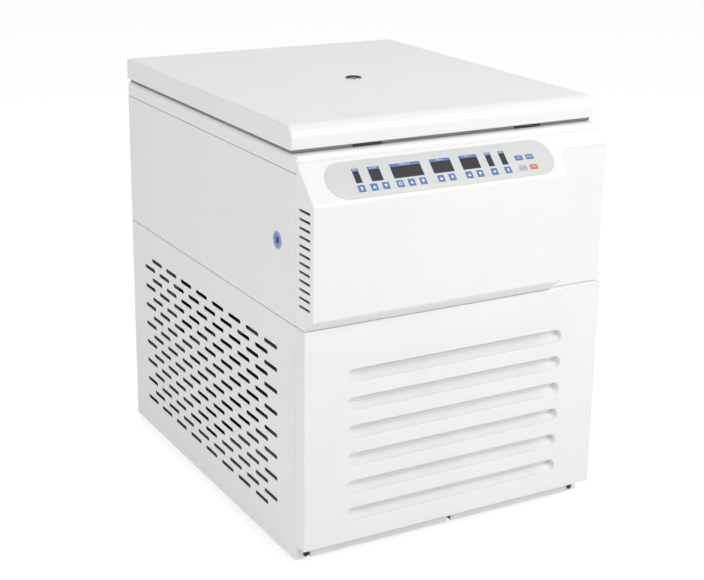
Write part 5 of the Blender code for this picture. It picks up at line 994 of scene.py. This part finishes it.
def make_overlay():
    ends = overlay_box()
    face = ends["face"]
    loops, dots = [overlay_outline(ends, 0)], []
    for name in KEYS:
        x, y, width, height = key_box(name)[:4]
        loops.append(rectangle(x, y, width + 2 * CLEARANCE, height + 2 * CLEARANCE, KEY_CORNER))
        if name in KEY_WORDS:
            dots.append(circle(x, on_slope(name)[1].y + DOT_GAP, DOT_RADIUS, 12))
    overlay = plate("overlay_film_sheet", loops, ends["seat"], face, SLOPE, OVERLAY_EDGE)
    dress(overlay, "overlay_film", replaces=["control_overlay", "display_board"])
    films, digits, frames, headers, words = window_shapes(ends)
    pieces = (
        ("window_films", films, "window_film", 0.5, 1),
        ("window_digits", digits, "segment_grey", 1, 1.5),
        ("window_frames", frames, "print_blue", 0.5, 1),
        ("window_headers", headers, "print_blue", 0.5, 1),
        ("key_lamps", dots, "print_grey", 0.5, 1),
    )
    for name, outlines, finish, bottom, top in pieces:
        dress(stamps(name, outlines, face - PRINT + bottom * PRINT, face + top * PRINT, SLOPE), finish)
    dress(lettering("header_words", words, face, face + 1.5 * PRINT, SLOPE), "print_white")


def segment(x, y, length, upright):
    """One pointed bar of a digit, lying or upright."""
    cut = DIGIT_BAR / 2
    end = length / 2 - cut - DIGIT_SPLIT
    corners = ((-end, 0), (cut - end, -cut), (end - cut, -cut), (end, 0), (end - cut, cut), (cut - end, cut))
    return [(x - b, y + a) if upright else (x + a, y + b) for a, b in corners]


def seven_segments(x, y, width):
    """The seven unlit bars of one digit."""
    half, tall = width / 2, DIGIT_HEIGHT / 2
    bars = [segment(x, y + row * tall, width, False) for row in (-1, 0, 1)]
    for side in (-1, 1):
        bars += [segment(x + side * half, y + row * tall / 2, tall, True) for row in (-1, 1)]
    return bars


def key_box(name):
    """A key's middle, size, bottom and top in the slope's frame."""
    start, end = on_slope(name)
    middle, size = (start + end) / 2, end - start
    return middle.x, middle.y, size.x, size.y, start.z, end.z


def make_keys():
    for name in KEYS:
        x, y, width, height, seat, face = key_box(name)
        outline = rectangle(x, y, width, height, KEY_CORNER, 4)
        cap = plate(name + "_cap", [outline], seat, face, SLOPE, KEY_EDGE)
        finish = {"key_grey": "key_grey", "key_red": "key_red"}.get(name, "key_blue")
        dress(cap, finish, name, replaces=[name])
        bottom, top = face - PRINT / 2, face + PRINT
        if name in KEY_WORDS:
            words = [(KEY_WORDS[name], x, y, width * WORD_SHARE)]
            mark = lettering(name + "_mark", words, bottom, top, SLOPE)
        else:
            mark = stamps(name + "_mark", key_icon(name, x, y), bottom, top, SLOPE)
        dress(mark, "print_grey" if name == "key_grey" else "print_white", name)


def key_icon(name, x, y):
    """The white mark on a setting key: an arrow, a frame, a bar or a ring."""
    number = int(name.split("_")[1])
    size = ICON_SIZE
    if number in ARROWS_UP:
        return [[(x - size, y - size * 0.8), (x + size, y - size * 0.8), (x, y + size)]]
    if number in ARROWS_DOWN:
        return [[(x - size, y + size * 0.8), (x, y - size), (x + size, y + size * 0.8)]]
    if number == FRAME_KEY:
        bars = [rectangle(x, y + side * size * 0.75, size * 1.6, size * 0.4) for side in (-1, 1)]
        posts = [rectangle(x + side * size * 0.75, y, size * 0.4, size * 1.1) for side in (-1, 1)]
        return bars + posts
    if number == BAR_KEY:
        return [rectangle(x, y, size * 1.5, size * 0.9)]
    return [oblong(x, y, size * 0.9, size * 2.2, 6)]


# Rim and chamber

def is_front_right(middle, way):
    """True for the rim's upright edge by the console's recess."""
    return is_upright(middle, way) and middle.x > 0 and middle.y < 0


def is_rim_edge(middle, way):
    return middle.z > Z_RIM + OVERRUN and not is_front_right(middle, way)


def make_top_frame():
    rim = block("rim_moulding", (-X_SIDE, Y_FRONT, Z_RIM), (X_SIDE, Y_REAR, Z_RIM_TOP))
    round_edges(rim, RIM_CORNER, 8, is_front_right)
    round_edges(rim, RIM_EDGE, 6, is_rim_edge)
    wall = RIM_WALL
    start = (-X_SIDE + wall, Y_FRONT + wall, Z_RIM - OVERRUN)
    inside = block("inside", start, (X_SIDE - wall, Y_REAR - wall, Z_RIM_TOP - wall))
    round_edges(inside, RIM_CORNER - wall, 8, is_front_right)
    carve(rim, inside)
    bowl = half_width("chamber_bowl")
    top = on_axis(Z_RIM_TOP + OVERRUN)
    carve(rim, cylinder("opening", bowl - RIM_LAP + CLEARANCE, on_axis(Z_RIM - OVERRUN), top, 128))
    step = on_axis(Z_RIM_TOP - RIM_LEDGE - CLEARANCE)
    carve(rim, cylinder("ledge", bowl + CLEARANCE, step, top, 128))
    for side in (-1, 1):
        x = side * LOCK_SPACING / 2
        start = (x - LOCK_HOLE_X, LOCK_Y - LOCK_HOLE_Y, Z_RIM)
        end = (x + LOCK_HOLE_X, LOCK_Y + LOCK_HOLE_Y, Z_RIM_TOP + OVERRUN)
        carve(rim, block("lock_hole", start, end, LOCK_HOLE_CORNER, 3, is_upright))
    dress(soften(rim, EDGE), "moulded_white", replaces=["top_frame"])


def make_bowl():
    flange, sheet = half_width("chamber_bowl"), BOWL_SHEET
    inner, flare = flange - BOWL_FLANGE, SHAFT_HOLE + SHAFT_FLARE
    top, floor = Z_RIM_TOP, Z_RIM_TOP - BOWL_DEPTH
    outline = filleted([
        (flange, top, 0.0006, 3),
        (flange, top - sheet, 0.0006, 3),
        (inner + sheet, top - sheet, 0.0006, 3),
        (inner + sheet, floor - sheet, 0.034, 16),
        (flare, floor - sheet, 0.004, 6),
        (SHAFT_HOLE, floor - sheet + SHAFT_COLLAR, 0.0006, 3),
        (SHAFT_HOLE, floor + SHAFT_COLLAR, 0.0006, 3),
        (flare, floor, 0.006, 6),
        (inner, floor, 0.032, 16),
        (inner, top, 0.0024, 6),
    ])
    dress(lathe("bowl_skin", outline, 128), "stainless", replaces=["chamber_bowl"])


def make_seal():
    z, top = low("chamber_seal").z, high("chamber_seal").z
    outer = half_width("chamber_seal")
    inner = outer - SEAL_WIDTH
    outline = filleted([
        (inner, z, 0.0004, 3),
        (outer, z, 0.0004, 3),
        (outer, top - 0.001, 0.0015, 5),
        (outer - SEAL_LIP, top, 0.0012, 5),
        ((outer + inner) / 2, top - SEAL_GROOVE, 0.0008, 4),
        (inner + SEAL_LIP, top, 0.0012, 5),
        (inner, top - 0.001, 0.0015, 5),
    ])
    dress(lathe("seal_profile", outline, 128), "seal_rubber", replaces=["chamber_seal"])


def finish_kept_nodes():
    """Gives each carried-over node its material."""
    for finish, nodes in KEPT_NODES.items():
        for node in nodes:
            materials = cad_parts[node].data.materials
            materials.clear()
            materials.append(LOOKS[finish][0])


def make_rotor():
    base = AXIS @ Matrix.Translation((0, 0, Z_ROTOR))
    height = Z_ROTOR_TOP - Z_ROTOR
    hub, hub_top, rim, skirt, bore = 0.024, 0.100, 0.080, 0.122, 0.0111
    slope = math.tan(POCKET_ANGLE)
    outline = filleted([
        (0.090, height, 0.0015, 4),
        (skirt, 0.036, 0.008, 10),
        (skirt, 0.010, 0.004, 6),
        (0.112, 0, 0.002, 4),
        (0.054, 0, 0.002, 4),
        (0.042, 0.028, 0.003, 5),
        (hub, 0.028, 0.002, 4),
        (hub, 0, 0.001, 3),
        (bore, 0, 0.0005, 2),
        (0.0095, hub_top, 0.0005, 2),
        (hub, hub_top, 0.001, 3),
        (rim, hub_top + (rim - hub) * slope, 0.003, 5),
        (rim, height, 0.001, 3),
    ])
    rotor = lathe("rotor_turned", outline, ROTOR_STEPS, base)
    mouth_height = hub_top + (POCKET_CIRCLE - hub) * slope
    for index in range(POCKET_COUNT):
        turn = Matrix.Rotation(math.tau * index / POCKET_COUNT, 3, "Z")
        mouth = Vector(base.translation) + turn @ Vector((POCKET_CIRCLE, 0, mouth_height))
        inward = turn @ Vector((math.sin(POCKET_ANGLE), 0, -math.cos(POCKET_ANGLE)))
        carve(rotor, pocket(mouth, inward))
    dress(soften(rotor, SOFT_EDGE), "anodised", "rotor", replaces=["rotor"])


def pocket(mouth, inward):
    """A round-bottomed tube hole."""
    turn = Vector((0, 0, 1)).rotation_difference(inward).to_matrix().to_4x4()
    profile = [(0, -POCKET_RADIUS), (POCKET_RADIUS, -POCKET_RADIUS)]
    profile += arc((0, POCKET_DEPTH - POCKET_RADIUS), POCKET_RADIUS, 0, math.pi / 2, 10)[:-1]
    profile.append((0, POCKET_DEPTH))
    return lathe("pocket", profile, 64, Matrix.Translation(mouth) @ turn)


def make_rotor_lid():
    radius = half_width("rotor_lid")
    spigot, spigot_radius, spigot_wall = 0.0035, 0.0794, 0.0744
    skin, edge, crown, crown_radius, hole = 0.005, 0.0085, 0.0205, 0.030, 0.0054
    outline = filleted([
        (hole, crown, 0.0004, 2),
        (crown_radius, crown, 0.006, 8),
        (radius - 0.003, edge + 0.0005, 0.002, 4),
        (radius, edge, 0.001, 4),
        (radius, spigot, 0.0006, 3),
        (spigot_radius, spigot, 0.0004, 2),
        (spigot_radius, 0, 0.0008, 3),
        (spigot_wall, 0, 0.0008, 3),
        (crown_radius, crown - skin, 0.004, 6),
        (hole, crown - skin, 0.0004, 2),
    ])
    base = AXIS @ Matrix.Translation((0, 0, low("rotor_lid").z))
    dish = lathe("rotor_lid_dish", outline, ROTOR_STEPS, base)
    dress(dish, "aluminium", "rotor_lid", replaces=["rotor_lid"])


def make_knob():
    foot, top = low("rotor_knob").z, high("rotor_knob").z
    bottom = top - KNOB_HEIGHT
    rings = []
    for height, inset in KNOB_LEVELS:
        ring = []
        z = min(bottom + height, top)
        for index in range(KNOB_STEPS):
            angle = math.tau * index / KNOB_STEPS
            reach = KNOB_RADIUS - KNOB_LOBE + KNOB_LOBE * math.cos(KNOB_LOBES * angle) - inset
            ring.append(Vector((reach * math.cos(angle), reach * math.sin(angle), z)) + CHAMBER)
        rings.append(ring)
    dress(loft("knob_grip", rings), "black_plastic", "rotor_knob", replaces=["rotor_knob"])
    head = bottom + OVERRUN
    stud = lathe("knob_stud", [(0, foot), (STUD_RADIUS, foot), (STUD_RADIUS, head), (0, head)], 32)
    dress(soften(stud), "zinc_steel", "rotor_knob")


# Lid

def lid_outline(inset, bottom):
    front, rear, top = Y_LID + inset, Y_REAR - inset, Z_LID_TOP - inset
    hem = 0 if inset else LID_HEM
    return filleted([
        (front, bottom, hem, 6),
        (rear, bottom, hem, 6),
        (rear, top, LID_REAR_RADIUS - inset, 8),
        (front, top, LID_FRONT_RADIUS - inset, 20),
    ])


def is_lid_side_edge(middle, way):
    return abs(middle.x) > X_SIDE - CLEARANCE and abs(way.x) < 0.5 and middle.z > Z_LID + OVERRUN


def make_lid():
    shell = prism("lid_skin", lid_outline(0, Z_LID), -X_SIDE, X_SIDE)
    round_edges(shell, LID_SIDE_EDGE, 6, is_lid_side_edge)
    width = X_SIDE - LID_WALL
    carve(shell, prism("inside", lid_outline(LID_WALL, Z_LID - OVERRUN), -width, width))
    start, end = on_axis(Z_LID - 3 * OVERRUN), on_axis(Z_LID_TOP + OVERRUN)
    carve(shell, cylinder("port", PORT_RADIUS, start, end, 96))
    dress(soften(shell, EDGE), "powder_coat", "lid", replaces=["lid_shell"])


def make_gap_shade_strip():
    """The soft dark strip along the lid's lower edge, painted shade for the gap above the rim, and the two
    lock pads in front of it.
    """
    bottom, top = Z_RIM_TOP + LID_SHADE_STRIP_GAP, Z_LID + LID_WALL
    x, front, rear = X_SIDE - LID_SHADE_STRIP_INSET, Y_LID + LID_SHADE_STRIP_INSET, Y_REAR - LID_SHADE_STRIP_INSET
    width = LID_SHADE_STRIP_WIDTH
    strip = block("lid_gap_shade_strip", (-x, front, bottom), (x, rear, top), LID_SHADE_STRIP_CORNER, 4, is_upright)
    start = (-x + width, front + width, bottom - OVERRUN)
    carve(strip, block("hollow", start, (x - width, rear - width, top + OVERRUN)))
    dress(soften(strip, SOFT_EDGE), "seal_rubber", "lid")
    pads = []
    for side in (-1, 1):
        middle = side * LOCK_SPACING / 2
        start = (middle - LOCK_PAD_WIDTH / 2, front - OVERRUN, bottom)
        end = (middle + LOCK_PAD_WIDTH / 2, front - OVERRUN + LOCK_PAD_DEPTH, top)
        pads.append(block("pad", start, end, LOCK_PAD_EDGE, 3))
    pads = carve(pads[0], pads[1], operation="UNION")
    pads.name = "lid_lock_pads"
    dress(pads, "rubber", "lid")


def make_liner_screws():
    inset = LID_SHADE_STRIP_INSET + 2 * LID_SHADE_STRIP_WIDTH
    x, front, rear = X_SIDE - inset, Y_LID + inset, Y_REAR - inset
    under = Matrix.Translation((0, 0, Z_LID)) @ Matrix.Rotation(math.pi, 4, "X")
    places = []
    for share in LINER_SCREW_SHARES:
        for side, end in ((-1, front), (1, rear)):
            places.append(at(under, side * x, -front - share * (rear - front)))
            places.append(at(under, (share - 0.5) * LINER_SCREW_SPREAD * x, -end))
    screws("liner_screws", "zinc_steel", "lid", places)


def make_port():
    foot, top = low("port_sleeve").z, high("port_sleeve").z
    flange = half_width("port_sleeve")
    bore, seat, tube, ledge = 0.0115, 0.0138, 0.0150, 0.0035
    ring = filleted([
        (flange, top, 0.0006, 4),
        (flange, top - 0.001, 0.0002, 2),
        (tube, top - 0.001),
        (tube, foot, 0.0005, 2),
        (bore, foot, 0.0005, 2),
        (bore, top - ledge, 0.0003, 2),
        (seat, top - ledge, 0.0003, 2),
        (seat, top, 0.0006, 4),
    ])
    dress(lathe("port_ring", ring, 96), "stainless", "lid", replaces=["port_sleeve"])
    cover, lip = 0.0158, 0.0100
    gasket = filleted([
        (cover, top - 0.0002),
        (cover, top + 0.0013, 0.0010, 5),
        (lip, top + 0.0004, 0.0005, 4),
        (lip, top - 0.0002),
    ])
    dress(lathe("port_gasket", gasket, 96), "rubber", "lid")
    bottom, top = low("port_glass").z, high("port_glass").z
    outer, inner = bore - 0.0002, bore - 0.001
    lining = [(outer, foot), (outer, bottom), (inner, bottom), (inner, foot)]
    dress(lathe("port_lining", lining, 96), "black_plastic", "lid")
    edge = seat - CLEARANCE
    pane = filleted([
        (0, bottom),
        (edge, bottom, 0.0004, 3),
        (edge, top, 0.0004, 3),
        (0, top),
    ])
    dress(lathe("port_pane", pane, 96), "port_glass", "lid", replaces=["port_glass"])


# Rear and release

def make_rear_details():
    """The screws of the hinge plates and the switch plate, the gland's nut and the rocker's marks."""
    rearwards = Vector((0, 1, 0))
    places = []
    for name in ("left", "right"):
        base = face_frame("hinge_bracket_" + name, rearwards)
        for y in HINGE_SCREW_HEIGHTS:
            places += [at(base, side * HINGE_SCREW_X, y) for side in (-1, 1)]
    screws("hinge_screws", "zinc_steel", "cabinet", places)
    middle = middle_of("power_entry")
    x, z = -middle.x, middle.z
    face = facing_rear(high("power_entry").y - GLAND_LENGTH)
    places = [at(face, x, z + side * SWITCH_SCREW_Z) for side in (-1, 1)]
    screws("switch_screws", "black_paint", "cabinet", places, SWITCH_SCREW_RADIUS)
    outline = circle(x, z - GLAND_DROP, GLAND_NUT_RADIUS, 6)
    hole = circle(x, z - GLAND_DROP, GLAND_RADIUS + CLEARANCE, 48)
    nut = plate("gland_nut", [outline, hole], 0, GLAND_NUT_LENGTH, face, SOFT_EDGE)
    dress(nut, "black_plastic")
    ring = [circle(0, -ROCKER_MARK_Y, radius, 24) for radius in ROCKER_RING]
    bar = rectangle(0, ROCKER_MARK_Y, *ROCKER_BAR)
    marks = plate("rocker_marks", ring + [bar], 0, PRINT * 2, face_frame("power_rocker", rearwards))
    dress(marks, "print_white", "power_rocker")


def make_release():
    node = "release_escutcheon"
    middle = middle_of(node)
    matrix = Matrix.Translation((-X_SIDE, middle.y, middle.z)) @ Matrix.Rotation(-math.pi / 2, 4, "Y")
    radius, bore, dish = 0.0165, 0.0068, 0.001
    outer, inner = radius - 0.0002, radius - 0.0022
    # The lighter blue ring round the badge's edge is a painted highlight on its rim.
    line = filleted([
        (inner, -0.0006),
        (inner, 0.0002, 0.0001, 2),
        (outer, 0.0002, 0.0001, 2),
        (outer, -0.0006),
    ])
    dress(lathe("release_painted_highlight", line, 96, matrix), "badge_painted_highlight")
    collar, collar_top, collar_foot = 0.0190, -0.0018, -0.0048
    tube, tube_foot = 0.0125, -0.020
    ring = filleted([
        (bore, 0, 0.0004, 2),
        (bore + 0.002, 0, 0.0004, 2),
        (bore + 0.003, -dish, 0.0004, 2),
        (radius - 0.003, -dish, 0.0005, 3),
        (radius - 0.002, 0, 0.0005, 3),
        (radius, 0, 0.0005, 3),
        (radius, collar_top),
        (collar, collar_top),
        (collar, collar_foot),
        (tube, collar_foot),
        (tube, tube_foot),
        (bore, tube_foot),
    ])
    dress(lathe("release_ring", ring, 96, matrix), "badge_blue", replaces=[node])


# Camera, light and floor
def make_camera():
    data = bpy.data.cameras.new("camera")
    data.lens, data.sensor_width = CAMERA_LENS, SENSOR_WIDTH
    data.shift_y = HORIZON_SHIFT / IMAGE_WIDTH
    camera = bpy.data.objects.new("camera", data)
    turn = Matrix.Rotation(-CAMERA_AZIMUTH, 4, "Z") @ Matrix.Rotation(math.pi / 2 - CAMERA_ELEVATION, 4, "X")
    camera.matrix_world = Matrix.Translation(CAMERA_PLACE) @ turn @ Matrix.Rotation(CAMERA_ROLL, 4, "Z")
    bpy.context.scene.collection.objects.link(camera)
    bpy.context.scene.camera = camera


def seen_rays(tree):
    """1 for camera, glossy and transmission rays, and 0 for those that carry light."""
    path = node_of(tree, "LightPath").outputs
    first = node_of(tree, "Math", fed=[(0, path["Is Camera Ray"]), (1, path["Is Glossy Ray"])])
    second = node_of(tree, "Math", fed=[(0, first.outputs[0]), (1, path["Is Transmission Ray"])])
    first.operation = second.operation = "MAXIMUM"
    return second.outputs[0]


def mix_by_ray(tree, plain, shown, kind):
    """Puts out one shader for light-carrying rays and the other for those that show it."""
    mix = node_of(tree, "MixShader", fed=[(0, seen_rays(tree)), (1, plain.outputs[0]), (2, shown.outputs[0])])
    node_of(tree, kind, fed=[("Surface", mix.outputs[0])])


def make_world():
    world = bpy.data.worlds.new("studio")
    bpy.context.scene.world = world
    world.use_nodes = True
    tree = world.node_tree
    tree.nodes.clear()
    white = ("Color", (1, 1, 1, 1))
    light = node_of(tree, "Background", [white, ("Strength", AMBIENT)])
    seen = node_of(tree, "Background", [white, ("Strength", 1.0)])
    mix_by_ray(tree, light, seen, "OutputWorld")


def make_lamp(name, place, aim, size, power):
    data = bpy.data.lights.new(name, "AREA")
    data.shape = "RECTANGLE"
    data.size = data.size_y = size
    data.energy = power
    lamp = bpy.data.objects.new(name, data)
    lamp.location = place
    lamp.rotation_euler = (Vector(aim) - Vector(place)).to_track_quat("-Z", "Y").to_euler()
    bpy.context.scene.collection.objects.link(lamp)


def make_floor():
    bm = bmesh.new()
    bmesh.ops.create_grid(bm, x_segments=1, y_segments=1, size=FLOOR_SIZE)
    floor = to_object("floor", bm)
    material = bpy.data.materials.new("pale_floor")
    material.use_nodes = True
    tree = material.node_tree
    tree.nodes.clear()
    plain = node_of(tree, "BsdfDiffuse", [("Color", FLOOR_COLOUR)])
    shown = node_of(tree, "BsdfDiffuse", [("Color", FLOOR_SHOWN)])
    glow = node_of(tree, "Emission", [("Strength", FLOOR_GLOW)])
    add = node_of(tree, "AddShader", fed=[(0, glow.outputs[0]), (1, shown.outputs[0])])
    mix_by_ray(tree, plain, add, "OutputMaterial")
    floor.data.materials.append(material)


def make_studio():
    bpy.context.scene.view_settings.view_transform = "Standard"
    make_camera()
    make_world()
    make_floor()
    for lamp in LAMPS:
        make_lamp(*lamp)


make_studio()
make_sides()
make_rear_panel()
make_front_panel()
make_base()
make_console()
make_overlay()
make_keys()
make_top_frame()
make_bowl()
make_seal()
make_rotor()
make_rotor_lid()
make_knob()
make_lid()
make_gap_shade_strip()
make_liner_screws()
make_port()
make_release()
make_rear_details()
finish_kept_nodes()
